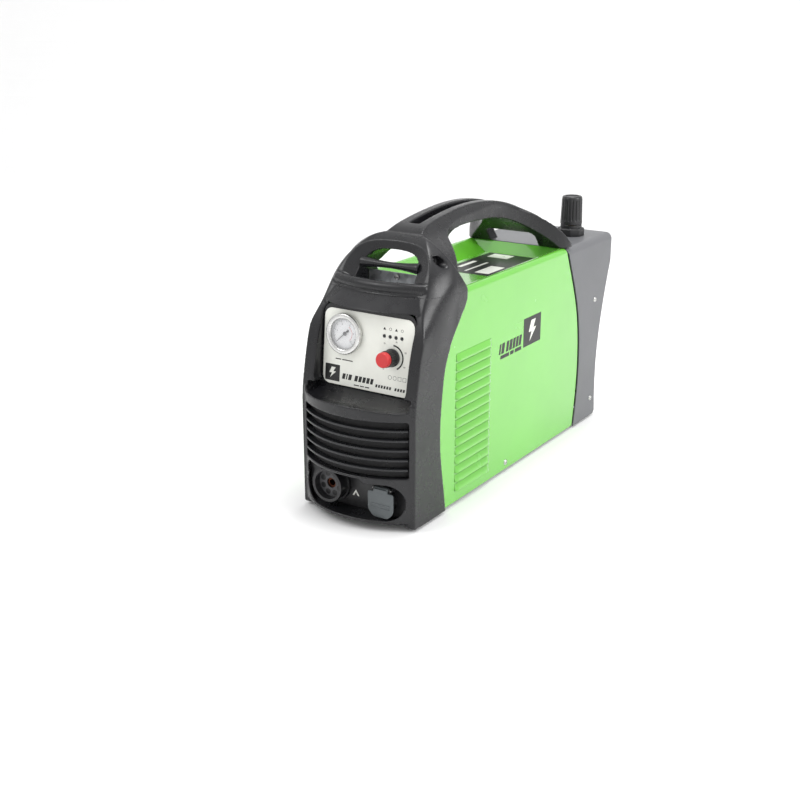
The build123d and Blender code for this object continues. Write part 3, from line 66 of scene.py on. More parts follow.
def basis(origin, x_dir, z_dir):
    """Matrix of a local frame in millimetres at an origin in metres."""
    z_axis = Vector(z_dir).normalized()
    x_axis = Vector(x_dir).normalized()
    y_axis = z_axis.cross(x_axis)
    turn = Matrix((x_axis, y_axis, z_axis)).transposed().to_4x4()
    return Matrix.Translation(origin) @ turn @ Matrix.Scale(0.001, 4)


PANEL = basis(mm(0, 18.5, 150), (1, 0, 0), PANEL_OUT)
FORWARD = (0, -1, 0)
BACKWARD = (0, 1, 0)


def on_panel(place, out=0.0):
    """Local frame on the control panel at a place, raised by out."""
    return PANEL @ Matrix.Translation((place[0], place[1], out))


# ---- materials -----------------------------------------------------------------------------
def rgb(red, green, blue):
    """Linear colour from 0 to 255 screen values."""
    def linear(value):
        value /= 255
        return value / 12.92 if value <= 0.04045 else ((value + 0.055) / 1.055) ** 2.4
    return linear(red), linear(green), linear(blue), 1.0


def new_material(name):
    made = bpy.data.materials.new(name)
    made.use_nodes = True
    tree = made.node_tree
    shader = tree.nodes["Principled BSDF"]
    return made, tree, shader


def noise_node(tree, scale, detail=3.0, rough=0.55, stretch=None):
    """Noise in the object's own metres, optionally stretched along an axis."""
    where = tree.nodes.new("ShaderNodeTexCoord").outputs["Object"]
    if stretch:
        mapping = tree.nodes.new("ShaderNodeMapping")
        mapping.inputs["Scale"].default_value = stretch
        tree.links.new(where, mapping.inputs["Vector"])
        where = mapping.outputs["Vector"]
    noise = tree.nodes.new("ShaderNodeTexNoise")
    noise.inputs["Scale"].default_value = scale
    noise.inputs["Detail"].default_value = detail
    noise.inputs["Roughness"].default_value = rough
    tree.links.new(where, noise.inputs["Vector"])
    return noise.outputs["Fac"]


def ranged(tree, value, low, high, from_low=0.3, from_high=0.7):
    node = tree.nodes.new("ShaderNodeMapRange")
    node.inputs["From Min"].default_value = from_low
    node.inputs["From Max"].default_value = from_high
    node.inputs["To Min"].default_value = low
    node.inputs["To Max"].default_value = high
    tree.links.new(value, node.inputs["Value"])
    return node.outputs["Result"]


def mixed(tree, factor, first, second):
    """Colour mix by a factor output; first and second are colours or colour outputs."""
    node = tree.nodes.new("ShaderNodeMix")
    node.data_type = "RGBA"
    tree.links.new(factor, node.inputs[0])
    for socket, value in ((node.inputs[6], first), (node.inputs[7], second)):
        if isinstance(value, (tuple, list)):
            socket.default_value = value
        else:
            tree.links.new(value, socket)
    return node.outputs[2]


def edge_mask(tree, radius):
    """1 on sharp edges, 0 on flats, from how far the rounded normal leaves the true one."""
    rounded = tree.nodes.new("ShaderNodeBevel")
    rounded.samples = 4
    rounded.inputs["Radius"].default_value = radius
    flat = tree.nodes.new("ShaderNodeNewGeometry").outputs["Normal"]
    dot = tree.nodes.new("ShaderNodeVectorMath")
    dot.operation = "DOT_PRODUCT"
    tree.links.new(rounded.outputs["Normal"], dot.inputs[0])
    tree.links.new(flat, dot.inputs[1])
    return ranged(tree, dot.outputs["Value"], 1.0, 0.0, 0.8, 0.995), rounded.outputs["Normal"]


def finish_material(tree, shader, grain, grain_scale, rounded=None, depth=0.0001):
    """Fine surface texture from a grain output, over rounded edges where given."""
    bump = tree.nodes.new("ShaderNodeBump")
    bump.inputs["Strength"].default_value = grain
    bump.inputs["Distance"].default_value = depth
    tree.links.new(noise_node(tree, grain_scale, 2.0), bump.inputs["Height"])
    if rounded is not None:
        tree.links.new(rounded, bump.inputs["Normal"])
    tree.links.new(bump.outputs["Normal"], shader.inputs["Normal"])


def moulded(name, colour, rough, grain=0.35, grain_scale=2600, wear=0.10, edge=0.0007):
    """Moulded plastic: fine spark grain, patchy sheen, slightly paler rubbed edges."""
    made, tree, shader = new_material(name)
    mask, rounded = edge_mask(tree, edge)
    patch = noise_node(tree, 22, 4)
    paler = tuple(min(1, c * 1.22 + 0.004) for c in colour[:3]) + (1,)
    base = mixed(tree, ranged(tree, patch, 0, 0.55), colour, paler)
    worn = tuple(min(1, c * 1.5 + wear * 0.25) for c in colour[:3]) + (1,)
    rub = tree.nodes.new("ShaderNodeMath")
    rub.operation = "MULTIPLY"
    tree.links.new(mask, rub.inputs[0])
    tree.links.new(ranged(tree, noise_node(tree, 90, 5), 0, wear * 6, 0.42, 0.62), rub.inputs[1])
    tree.links.new(mixed(tree, rub.outputs["Value"], base, worn), shader.inputs["Base Color"])
    tree.links.new(ranged(tree, noise_node(tree, 55, 5), rough - 0.07, rough + 0.07),
                   shader.inputs["Roughness"])
    finish_material(tree, shader, grain, grain_scale, rounded)
    return made


def painted(name, colour, rough, coat, peel=0.12, edge=0.0009):
    """Powder coat or enamel: orange peel under a clear gloss, tone drifting slowly."""
    made, tree, shader = new_material(name)
    mask, rounded = edge_mask(tree, edge)
    deeper = tuple(c * 0.9 for c in colour[:3]) + (1,)
    base = mixed(tree, ranged(tree, noise_node(tree, 9, 3), 0, 1), colour, deeper)
    thin = tuple(min(1, c * 1.12 + 0.01) for c in colour[:3]) + (1,)
    rub = tree.nodes.new("ShaderNodeMath")
    rub.operation = "MULTIPLY"
    tree.links.new(mask, rub.inputs[0])
    tree.links.new(ranged(tree, noise_node(tree, 120, 5), 0, 0.7, 0.4, 0.65), rub.inputs[1])
    tree.links.new(mixed(tree, rub.outputs["Value"], base, thin), shader.inputs["Base Color"])
    tree.links.new(ranged(tree, noise_node(tree, 14, 3), rough - 0.03, rough + 0.04),
                   shader.inputs["Roughness"])
    shader.inputs["Coat Weight"].default_value = coat
    shader.inputs["Coat Roughness"].default_value = 0.1
    finish_material(tree, shader, peel, 700, rounded, 0.0003)
    return made


def metal(name, colour, rough, scratch=0.25, stretch=(1, 1, 1), edge=0.0005):
    """Bare or plated metal with fine directional scratches."""
    made, tree, shader = new_material(name)
    rounded = edge_mask(tree, edge)[1]
    shader.inputs["Metallic"].default_value = 1.0
    dull = tuple(c * 0.82 for c in colour[:3]) + (1,)
    tone = ranged(tree, noise_node(tree, 60, 5), 0, 1)
    tree.links.new(mixed(tree, tone, colour, dull), shader.inputs["Base Color"])
    tree.links.new(ranged(tree, noise_node(tree, 240, 6, 0.7, stretch), rough - 0.08, rough + 0.12),
                   shader.inputs["Roughness"])
    finish_material(tree, shader, scratch, 1800, rounded, 0.00006)
    return made


def galvanised(name):
    """Zinc coated sheet: crystalline spangle in tone and roughness."""
    made, tree, shader = new_material(name)
    rounded = edge_mask(tree, 0.0004)[1]
    shader.inputs["Metallic"].default_value = 0.85
    where = tree.nodes.new("ShaderNodeTexCoord").outputs["Object"]
    cells = tree.nodes.new("ShaderNodeTexVoronoi")
    cells.inputs["Scale"].default_value = 170
    tree.links.new(where, cells.inputs["Vector"])
    split = tree.nodes.new("ShaderNodeSeparateColor")
    tree.links.new(cells.outputs["Color"], split.inputs["Color"])
    facet = split.outputs["Red"]
    tree.links.new(mixed(tree, facet, rgb(176, 178, 181), rgb(206, 208, 210)), shader.inputs["Base Color"])
    tree.links.new(ranged(tree, facet, 0.32, 0.5, 0, 1), shader.inputs["Roughness"])
    finish_material(tree, shader, 0.15, 900, rounded)
    return made


def clear(name, tint, rough=0.04):
    """Clear glass or polycarbonate with faint smears."""
    made, tree, shader = new_material(name)
    shader.inputs["Base Color"].default_value = tint
    shader.inputs["Transmission Weight"].default_value = 1.0
    shader.inputs["IOR"].default_value = 1.46
    tree.links.new(ranged(tree, noise_node(tree, 120, 5), rough * 0.5, rough * 1.6),
                   shader.inputs["Roughness"])
    finish_material(tree, shader, 0.03, 400)
    return made


def pane(name, cover):
    """Thin clear sheet: a gloss over what lies behind it, with faint smears."""
    made, tree, shader = new_material(name)
    tree.links.new(mixed(tree, noise_node(tree, 60, 4), (0.8, 0.82, 0.84, 1), (0.9, 0.91, 0.92, 1)),
                   shader.inputs["Base Color"])
    shader.inputs["Alpha"].default_value = cover
    tree.links.new(ranged(tree, noise_node(tree, 120, 5), 0.03, 0.09), shader.inputs["Roughness"])
    finish_material(tree, shader, 0.03, 400)
    return made


def board(name):
    """Green solder mask with copper tracks showing as paler lines."""
    made, tree, shader = new_material(name)
    where = tree.nodes.new("ShaderNodeTexCoord").outputs["Object"]
    track = tree.nodes.new("ShaderNodeTexVoronoi")
    track.feature = "DISTANCE_TO_EDGE"
    track.distance = "MANHATTAN"
    track.inputs["Scale"].default_value = 130
    tree.links.new(where, track.inputs["Vector"])
    line = ranged(tree, track.outputs["Distance"], 1, 0, 0.03, 0.06)
    tree.links.new(mixed(tree, line, rgb(18, 84, 44), rgb(48, 128, 66)), shader.inputs["Base Color"])
    tree.links.new(ranged(tree, noise_node(tree, 80, 4), 0.3, 0.45), shader.inputs["Roughness"])
    finish_material(tree, shader, 0.2, 900)
    return made


def wound(name, colour, stretch):
    """Enamelled copper winding: close parallel wires."""
    made, tree, shader = new_material(name)
    shader.inputs["Metallic"].default_value = 0.75
    where = tree.nodes.new("ShaderNodeTexCoord").outputs["Object"]
    mapping = tree.nodes.new("ShaderNodeMapping")
    mapping.inputs["Scale"].default_value = stretch
    tree.links.new(where, mapping.inputs["Vector"])
    turns = tree.nodes.new("ShaderNodeTexWave")
    turns.bands_direction = "Z"
    turns.inputs["Scale"].default_value = 110
    turns.inputs["Distortion"].default_value = 0.6
    tree.links.new(mapping.outputs["Vector"], turns.inputs["Vector"])
    dark = tuple(c * 0.35 for c in colour[:3]) + (1,)
    tree.links.new(mixed(tree, turns.outputs["Fac"], dark, colour), shader.inputs["Base Color"])
    tree.links.new(ranged(tree, noise_node(tree, 200, 4), 0.3, 0.5), shader.inputs["Roughness"])
    bump = tree.nodes.new("ShaderNodeBump")
    bump.inputs["Strength"].default_value = 0.8
    bump.inputs["Distance"].default_value = 0.0008
    tree.links.new(turns.outputs["Fac"], bump.inputs["Height"])
    tree.links.new(bump.outputs["Normal"], shader.inputs["Normal"])
    return made


MATERIALS = {
    "frame_plastic": moulded("frame_plastic", rgb(20, 20, 23), 0.29, 0.2, wear=0.015),
    "grille_plastic": moulded("grille_plastic", rgb(24, 25, 28), 0.3, 0.2, wear=0.02),
    "black_plastic": moulded("black_plastic", rgb(25, 25, 27), 0.36),
    "flap_grey": moulded("flap_grey", rgb(82, 87, 89), 0.55),
    "foot_rubber": moulded("foot_rubber", rgb(34, 34, 35), 0.8, 0.5, 1500),
    "air_hose": moulded("air_hose", rgb(34, 58, 118), 0.35, 0.1, 900),
    "insulator": moulded("insulator", rgb(205, 196, 168), 0.6),
    "knob_black": moulded("knob_black", rgb(30, 30, 32), 0.34, 0.25),
    "knob_red": moulded("knob_red", rgb(196, 48, 50), 0.4, 0.2),
    "rocker_red": moulded("rocker_red", rgb(172, 24, 26), 0.24, 0.08),
    "lamp_lens": moulded("lamp_lens", rgb(36, 36, 40), 0.16, 0.05),
    "overlay_film": moulded("overlay_film", rgb(231, 232, 224), 0.34, 0.12, 1800, wear=0.02),
    "capacitor_sleeve": moulded("capacitor_sleeve", rgb(28, 46, 88), 0.3, 0.08),
    "ferrite": moulded("ferrite", rgb(72, 72, 74), 0.6, 0.6, 1200),
    "green_paint": painted("green_paint", rgb(104, 192, 54), 0.24, 1.0, 0.04),
    "grey_paint": painted("grey_paint", rgb(104, 105, 108), 0.5, 0.15, 0.3),
    "dial_white": painted("dial_white", rgb(247, 247, 248), 0.4, 0.1),
    "pointer_black": painted("pointer_black", rgb(13, 13, 14), 0.42, 0.1),
    "galvanised_steel": galvanised("galvanised_steel"),
    "gauge_chrome": metal("gauge_chrome", rgb(222, 222, 220), 0.22, 0.1),
    "zinc_fittings": metal("zinc_fittings", rgb(186, 187, 190), 0.38),
    "brass_fittings": metal("brass_fittings", rgb(212, 176, 98), 0.28),
    "copper_tube": metal("copper_tube", rgb(92, 54, 40), 0.42),
    "bright_screws": metal("bright_screws", rgb(206, 206, 204), 0.26),
    "aluminium_sink": metal("aluminium_sink", rgb(205, 206, 208), 0.4, 0.3, (1, 0.05, 1)),
    "copper_winding": wound("copper_winding", rgb(196, 104, 52), (1, 1, 1)),
    "clear_lens": pane("clear_lens", 0.14),
    "clear_bowl": clear("clear_bowl", (0.85, 0.9, 0.92, 1), 0.1),
    "circuit_board": board("circuit_board"),
}
for part in frame["record"]["subparts"]:
    node = NODES[part["node"]]
    for place in node.material_slots:
        place.material = MATERIALS[part["material_slot"]]
    if not node.material_slots:
        node.data.materials.append(MATERIALS[part["material_slot"]])


# ---- mesh code -----------------------------------------------------------------------------
def rounded(points, radius, closed=False, steps=4):
    """A polyline in the plane with its corners eased by short curves."""
    count = len(points)
    eased = []
    for index, point in enumerate(points):
        if not closed and index in (0, count - 1):
            eased.append(Vector(point))
            continue
        corner = Vector(point)
        back = Vector(points[index - 1]) - corner
        ahead = Vector(points[(index + 1) % count]) - corner
        reach = min(radius, 0.45 * back.length, 0.45 * ahead.length)
        start = corner + back.normalized() * reach
        end = corner + ahead.normalized() * reach
        for step in range(steps + 1):
            along = step / steps
            eased.append(start * (1 - along) ** 2 + corner * 2 * along * (1 - along) + end * along ** 2)
    return eased


def tidy_mesh(mesh, angle=38):
    """Welds doubles, turns normals outward and smooths all but the sharp edges."""
    edit = bmesh.new()
    edit.from_mesh(mesh)
    bmesh.ops.remove_doubles(edit, verts=edit.verts, dist=2e-6)
    bmesh.ops.recalc_face_normals(edit, faces=edit.faces)
    edit.to_mesh(mesh)
    edit.free()
    mesh.shade_smooth()
    mesh.set_sharp_from_angle(angle=math.radians(angle))
    return mesh


def lathe(rings, place, segments=64, shape=None, closed=False):
    """Surface of revolution about local Z from (radius, height); shape varies the radius."""
    verts, faces = [], []
    for radius, height in rings:
        for step in range(segments):
            angle = 2 * math.pi * step / segments
            reach = shape(angle, radius, height) if shape else radius
            verts.append(place @ Vector((reach * math.cos(angle), reach * math.sin(angle), height)))
    last = len(rings) if closed else len(rings) - 1
    for ring in range(last):
        near, far = ring * segments, (ring + 1) % len(rings) * segments
        for step in range(segments):
            after = (step + 1) % segments
            faces.append((near + step, near + after, far + after, far + step))
    mesh = bpy.data.meshes.new("lathe")
    mesh.from_pydata(verts, [], faces)
    return tidy_mesh(mesh)


def shell_from_curve(curve, place):
    """The filled, extruded and bevelled solid of a planar curve or text."""
    holder = bpy.data.objects.new("outline", curve)
    mesh = bpy.data.meshes.new_from_object(holder)
    bpy.data.objects.remove(holder)
    bpy.data.curves.remove(curve)
    mesh.transform(place)
    return tidy_mesh(mesh)


def plate(outlines, place, thickness, edge=0.0):
    """Flat plate from closed outlines, inner ones being holes; its lower face on local z 0."""
    curve = bpy.data.curves.new("outline", "CURVE")
    curve.dimensions = "2D"
    curve.fill_mode = "BOTH"
    curve.extrude = thickness / 2 - edge
    curve.bevel_depth = edge
    curve.bevel_resolution = 3
    curve.offset = -edge
    for outline in outlines:
        spline = curve.splines.new("POLY")
        spline.points.add(len(outline) - 1)
        for point, (x, y) in zip(spline.points, outline):
            point.co = (x, y, 0, 1)
        spline.use_cyclic_u = True
    return shell_from_curve(curve, place @ Matrix.Translation((0, 0, thickness / 2)))


def lettering(text, place, height, thickness=0.06):
    """Raised print of a short number, centred on the place."""
    curve = bpy.data.curves.new("print", "FONT")
    curve.body = text
    curve.size = height
    curve.align_x = "CENTER"
    curve.align_y = "CENTER"
    curve.extrude = thickness / 2
    curve.resolution_u = 3
    return shell_from_curve(curve, place @ Matrix.Translation((0, 0, thickness / 2)))


def circle(radius, centre=(0, 0), steps=40):
    return [(centre[0] + radius * math.cos(2 * math.pi * step / steps),
             centre[1] + radius * math.sin(2 * math.pi * step / steps)) for step in range(steps)]


def box_outline(width, height, corner, centre=(0, 0)):
    x, y = width / 2, height / 2
    square = [(centre[0] + sx * x, centre[1] + sy * y) for sx, sy in ((-1, -1), (1, -1), (1, 1), (-1, 1))]
    return [tuple(point) for point in rounded(square, corner, True, 6)] if corner else square


def arc_band(inner, outer, start, end, centre=(0, 0), steps=36):
    """Band of a ring between two angles in degrees."""
    angles = [math.radians(start + (end - start) * step / steps) for step in range(steps + 1)]
    outside = [(centre[0] + outer * math.cos(a), centre[1] + outer * math.sin(a)) for a in angles]
    inside = [(centre[0] + inner * math.cos(a), centre[1] + inner * math.sin(a)) for a in reversed(angles)]
    return outside + inside


def swept(section, path, place=None, capped=True):
    """Solid of a closed section carried along stations, each giving the section's own frame."""
    verts, faces = [], []
    count = len(section)
    for station in path:
        for u, v in section:
            point = station(u, v)
            verts.append(place @ point if place else point)
    for step in range(len(path) - 1):
        for index in range(count):
            after = (index + 1) % count
            faces.append((step * count + index, step * count + after,
                          (step + 1) * count + after, (step + 1) * count + index))
    if capped:
        faces.append(tuple(range(count)))
        faces.append(tuple(reversed(range((len(path) - 1) * count, len(path) * count))))
    mesh = bpy.data.meshes.new("sweep")
    mesh.from_pydata(verts, [], faces)
    return tidy_mesh(mesh)


def joined(*meshes):
    """One mesh from several."""
    edit = bmesh.new()
    for mesh in meshes:
        edit.from_mesh(mesh)
        bpy.data.meshes.remove(mesh)
    whole = bpy.data.meshes.new("joined")
    edit.to_mesh(whole)
    edit.free()
    whole.shade_smooth()
    whole.set_sharp_from_angle(angle=math.radians(38))
    return whole


def piece(name, mesh, material, body="chassis", stands_for=()):
    """Links a mesh as a named piece riding on a body."""
    mesh.name = name
    obj = bpy.data.objects.new(name, mesh)
    bpy.context.scene.collection.objects.link(obj)
    mesh.materials.clear()
    mesh.materials.append(MATERIALS[material])
    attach(obj, body)
    if stands_for:
        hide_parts(*stands_for)
    return obj


# ---- moulded shells ------------------------------------------------------------------------
def eased_frame(voxel, passes):
    """Front and handle mouldings as one form with the eased edges of a moulding."""
    source = joined(*[NODES[node].data.copy() for node in ("front_bezel", "top_handle")])
    source.materials.clear()
    tidy_mesh(source)
    holder = bpy.data.objects.new("frame_source", source)
    bpy.context.scene.collection.objects.link(holder)
    remesh = holder.modifiers.new("remesh", "REMESH")
    remesh.mode = "VOXEL"
    remesh.voxel_size = voxel / 1000
    ease = holder.modifiers.new("ease", "SMOOTH")
    ease.factor = 0.5
    ease.iterations = passes
    graph = bpy.context.evaluated_depsgraph_get()
    mesh = bpy.data.meshes.new_from_object(holder.evaluated_get(graph))
    bpy.data.objects.remove(holder)
    bpy.data.meshes.remove(source)
    return mesh


def parted(whole, level, above):
    """The part of a closed mesh above or below a level, closed again at the cut."""
    edit = bmesh.new()
    edit.from_mesh(whole)
    bmesh.ops.bisect_plane(edit, geom=edit.verts[:] + edit.edges[:] + edit.faces[:], dist=1e-7,
                           plane_co=(0, 0, level / 1000), plane_no=(0, 0, 1),
                           clear_inner=above, clear_outer=not above)
    bmesh.ops.triangle_fill(edit, edges=[edge for edge in edit.edges if edge.is_boundary], use_beauty=True)
    mesh = bpy.data.meshes.new("parted")
    edit.to_mesh(mesh)
    edit.free()
    return tidy_mesh(mesh, 60)


FRAME_VOXEL, EASING_PASSES = 1.1, 6
frame_form = eased_frame(FRAME_VOXEL, EASING_PASSES)
piece("bezel_moulding", parted(frame_form, PARTING_Z, False), "frame_plastic",
      stands_for=("front_bezel",))
piece("handle_moulding", parted(frame_form, PARTING_Z, True), "frame_plastic",
      stands_for=("top_handle",))
bpy.data.meshes.remove(frame_form)

# ---- waisted bar across the hand hole ------------------------------------------------------
BAR = basis(mm(0, 70, 287), (0, 0, 1), (1, 0, 0))
BAR_HALF = 39.4
bar_rings = [(0, -BAR_HALF), (5.6, -BAR_HALF), (6.4, 1 - BAR_HALF)]
bar_rings += [(3.6 + 2.8 * abs(step / 12) ** 1.9, step / 12 * (BAR_HALF - 3)) for step in range(-12, 13)]
bar_rings += [(6.4, BAR_HALF - 1), (5.6, BAR_HALF), (0, BAR_HALF)]
piece("hand_bar", lathe(bar_rings, BAR, 48), "frame_plastic", stands_for=("cross_bar",))

# ---- bowed grille slats --------------------------------------------------------------------
BOW_RADIUS, BOW_CENTRE, GRILLE_HALF = 117.0, 91.0, 70.3
GRILLE_BOTTOM, GRILLE_TOP, SLOTS, SLAT = 65.0, 131.6, 6, 2.6
SLAT_PITCH = (GRILLE_TOP - GRILLE_BOTTOM + SLAT) / SLOTS


def bow_station(x):
    """Section frame on the bow: u is depth behind its face, v is height."""
    return lambda depth, z: mm(x, BOW_CENTRE - math.sqrt((BOW_RADIUS - depth) ** 2 - x * x), z)


stations = [bow_station(GRILLE_HALF * step / 28) for step in range(-28, 29)]
slats = []
for row in range(1, SLOTS):
    low = GRILLE_BOTTOM + row * SLAT_PITCH - SLAT
    section = rounded([(0.5, low), (0.5, low + SLAT), (10.5, low + SLAT), (10.5, low)], 0.8, True)
    slats.append(swept(section, stations))
for rib in (-35, 0, 35):
    edge = [bow_station(rib + side) for side in (-1.1, 1.1)]
    section = [(8.5, GRILLE_BOTTOM + 0.1), (8.5, GRILLE_TOP - 0.1), (13, GRILLE_TOP - 0.1),
               (13, GRILLE_BOTTOM + 0.1)]
    slats.append(swept(section, edge))
piece("grille_slats", joined(*slats), "grille_plastic", stands_for=("front_grille",))
# painted shade: a dark rubber-coloured sheet just behind the slats, standing for the shade seen through the
# slots
SHADE_SHEET_FRONT, SHADE_SHEET_BACK = 8.2, 9.4
SHADE_SHEET_LOW, SHADE_SHEET_HIGH = GRILLE_BOTTOM + 0.3, GRILLE_TOP - 0.3
screen = [(SHADE_SHEET_FRONT, SHADE_SHEET_LOW), (SHADE_SHEET_FRONT, SHADE_SHEET_HIGH), (SHADE_SHEET_BACK, SHADE_SHEET_HIGH),
          (SHADE_SHEET_BACK, SHADE_SHEET_LOW)]
piece("grille_shade_sheet", swept(screen, stations), "foot_rubber")


# ---- pressed louvres on both flanks --------------------------------------------------------
LOUVRES, LOUVRE_PITCH, LOUVRE_FIRST = 15, 11.5, 21.5
LOUVRE_START, LOUVRE_END = 93.0, 175.0


def louvre(level, hand):
    """One pressed hood: tangent to the flank above, open below, drawn out at both ends."""
    profile = [(0.0, 5.6), (0.35, 5.0), (1.25, 3.2), (2.3, 0.9), (2.95, -1.1), (3.2, -2.6), (3.05, -3.5),
               (2.2, -3.6), (2.3, -2.4), (1.9, -1.0), (1.1, 1.2), (0.2, 3.4), (-0.3, 4.6)]
    verts, faces = [], []
    steps = 26
    for step in range(steps + 1):
        along = step / steps
        depth = LOUVRE_START + (LOUVRE_END - LOUVRE_START) * along
        from_end = min(depth - LOUVRE_START, LOUVRE_END - depth)
        swell = math.sin(min(1.0, from_end / 5.0) * math.pi / 2) ** 0.8
        for out, z in profile:
            verts.append(mm(hand * (COVER_HALF + 0.05 + out * swell), depth, level + z))
    count = len(profile)
    for step in range(steps):
        for index in range(count):
            after = (index + 1) % count
            faces.append((step * count + index, step * count + after,
                          (step + 1) * count + after, (step + 1) * count + index))
    faces.append(tuple(range(count)))
    faces.append(tuple(reversed(range(steps * count, (steps + 1) * count))))
    mesh = bpy.data.meshes.new("louvre")
    mesh.from_pydata(verts, [], faces)
    return tidy_mesh(mesh, 50)


for hand, word in ((1, "right"), (-1, "left")):
    hoods = [louvre(LOUVRE_FIRST + row * LOUVRE_PITCH, hand) for row in range(LOUVRES)]
    piece(f"louvres_{word}", joined(*hoods), "green_paint")


# ---- screws --------------------------------------------------------------------------------
def screw(place, radius, height):
    """Pan head with a cross recess; local z 0 is under the head."""
    verts, faces = [], []
    rings, segments = 14, 48
    for ring in range(rings + 1):
        share = ring / rings
        for step in range(segments):
            angle = 2 * math.pi * step / segments
            x, y = radius * share * math.cos(angle), radius * share * math.sin(angle)
            top = height * (1 - 0.75 * share ** 4) * (1 if share < 1 else 0)
            arm = min(abs(x), abs(y)) < radius * 0.13 and max(abs(x), abs(y)) < radius * 0.55
            verts.append(place @ Vector((x, y, top - (height * 0.55 if arm else 0))))
    for ring in range(rings):
        for step in range(segments):
            after = (step + 1) % segments
            faces.append((ring * segments + step, ring * segments + after,
                          (ring + 1) * segments + after, (ring + 1) * segments + step))
    mesh = bpy.data.meshes.new("screw")
    mesh.from_pydata(verts, [], faces)
    return tidy_mesh(mesh, 30)


POCKET_SCREW = (50.5, 79, 296)
SIDE_SCREWS = ((COVER_HALF, 220, 13), POCKET_SCREW, (BOX_HALF, 468.3, 174.3), (BOX_HALF, 468.6, 29.8))
PLATE_SCREW = (0, 82.8, 270.5)
HEAD_RADIUS, HEAD_HEIGHT = 3.6, 2.0
screws = []
shaded_pocket_screws = []
# the two screws deep in the side pockets are kept apart for black paint: painted shade for the dark pocket
for x, depth, z in SIDE_SCREWS:
    for hand in (1, -1):
        turn = random.uniform(0, 90)
        where = basis(mm(hand * x, depth, z), (0, hand, 0), (hand, 0, 0))
        group = shaded_pocket_screws if (x, depth, z) == POCKET_SCREW else screws
        group.append(screw(where @ Matrix.Rotation(math.radians(turn), 4, "Z"), HEAD_RADIUS, HEAD_HEIGHT))
screws.append(screw(basis(mm(*PLATE_SCREW), (1, 0, 0), FORWARD), HEAD_RADIUS, HEAD_HEIGHT))
piece("screw_heads", joined(*screws), "bright_screws", stands_for=("case_screws",))
# painted shade: the pocket screws are black to stand for the shade in the pocket, not bright metal
piece("pocket_screw_heads_painted_shade", joined(*shaded_pocket_screws), "pointer_black")

# ---- pressure gauge ------------------------------------------------------------------------
ring = rounded([(17.6, 3.4), (17.6, 5.4), (19.0, 6.6), (22.4, 6.6), (23.9, 5.2), (23.9, 0.4), (21.7, 0.4),
                (21.7, 4.5), (18.4, 4.5)], 0.9, True)
piece("gauge_ring", lathe(ring, on_panel(GAUGE), 96, closed=True), "gauge_chrome",
      stands_for=("gauge_bezel",))
lens = [(0, 3.1), (20.6, 3.1), (20.6, 3.9), (17, 4.25), (10, 4.5), (0, 4.6)]
piece("gauge_glass", lathe(lens, on_panel(GAUGE), 72), "clear_lens", stands_for=("gauge_lens",))

DIAL_FACE = on_panel(GAUGE, 0.82)
ticks = []
for step in range(51):
    angle = math.radians(222 - 5.4 * step)
    long_tick = step % 5 == 0
    inner, outer, width = (13.6 if long_tick else 14.8), 16.3, (0.42 if long_tick else 0.18)
    across = Vector((-math.sin(angle), math.cos(angle))) * width / 2
    way = Vector((math.cos(angle), math.sin(angle)))
    corners = [way * inner - across, way * outer - across, way * outer + across, way * inner + across]
    ticks.append(plate([[tuple(c) for c in corners]], DIAL_FACE, 0.05))
for number in range(0, 11, 2):
    angle = math.radians(222 - 27 * number)
    where = DIAL_FACE @ Matrix.Translation((11.3 * math.cos(angle), 11.3 * math.sin(angle), 0))
    ticks.append(lettering(str(number), where, 2.9))
ticks.append(plate([arc_band(16.3, 16.6, -48, 222)], DIAL_FACE, 0.05))
piece("gauge_scale", joined(*ticks), "pointer_black")
piece("gauge_band", plate([arc_band(9.2, 9.7, -48, 60)], DIAL_FACE, 0.05), "knob_red")

REST = math.radians(222)
needle_place = on_panel(GAUGE, 1.5) @ Matrix.Rotation(REST, 4, "Z")
needle = plate([[(-6.6, -1.2), (-5.6, -1.5), (-1.5, -0.7), (0, -0.62), (15.4, -0.12), (15.4, 0.12), (0, 0.62),
                 (-1.5, 0.7), (-5.6, 1.5), (-6.6, 1.2)]], needle_place, 0.5, 0.08)
hub = lathe(rounded([(0, 1.5), (1.9, 1.4), (2.4, 0.6), (2.4, -0.05), (0, -0.05)], 0.3), needle_place, 40)
piece("gauge_needle_blade", joined(needle, hub), "pointer_black", body="gauge_needle",
      stands_for=("gauge_pointer",))


# ---- current knob --------------------------------------------------------------------------
def fluted(count, depth, low, high):
    """Radius law: scallops between two heights, fading out at both."""
    def law(angle, radius, height):
        if not low < height < high:
            return radius
        fade = min(1.0, (height - low) / 1.2, (high - height) / 1.2)
        return radius - depth * fade * max(0.0, math.cos(count * angle)) ** 2
    return law


knob_rings = [(0, 0.9), (9.9, 0.9), (10.3, 1.2), (10.3, 3.2), (9.9, 3.7)]
knob_rings += [(9.55 - 0.004 * step, 3.9 + step) for step in range(11)]
knob_rings += [(9.3, 15.0), (0, 15.0)]
knob_place = on_panel(KNOB)
skirt = lathe(knob_rings, knob_place, 160, fluted(20, 0.8, 4.2, 14.6))
shaft = lathe(rounded([(0, -10.5), (3, -10.5), (3, 1.5), (0, 1.5)], 0.3), knob_place, 32)
piece("knob_body", joined(skirt, shaft), "knob_black", body="current_dial", stands_for=("current_knob",))
cap = rounded([(0, 15.05), (8.6, 15.05), (8.8, 15.5), (8.7, 20.6), (7.6, 22.1), (5.8, 22.0), (0, 21.6)], 0.9)
piece("knob_button", lathe(cap, knob_place, 72), "knob_red", body="current_dial", stands_for=("knob_cap",))

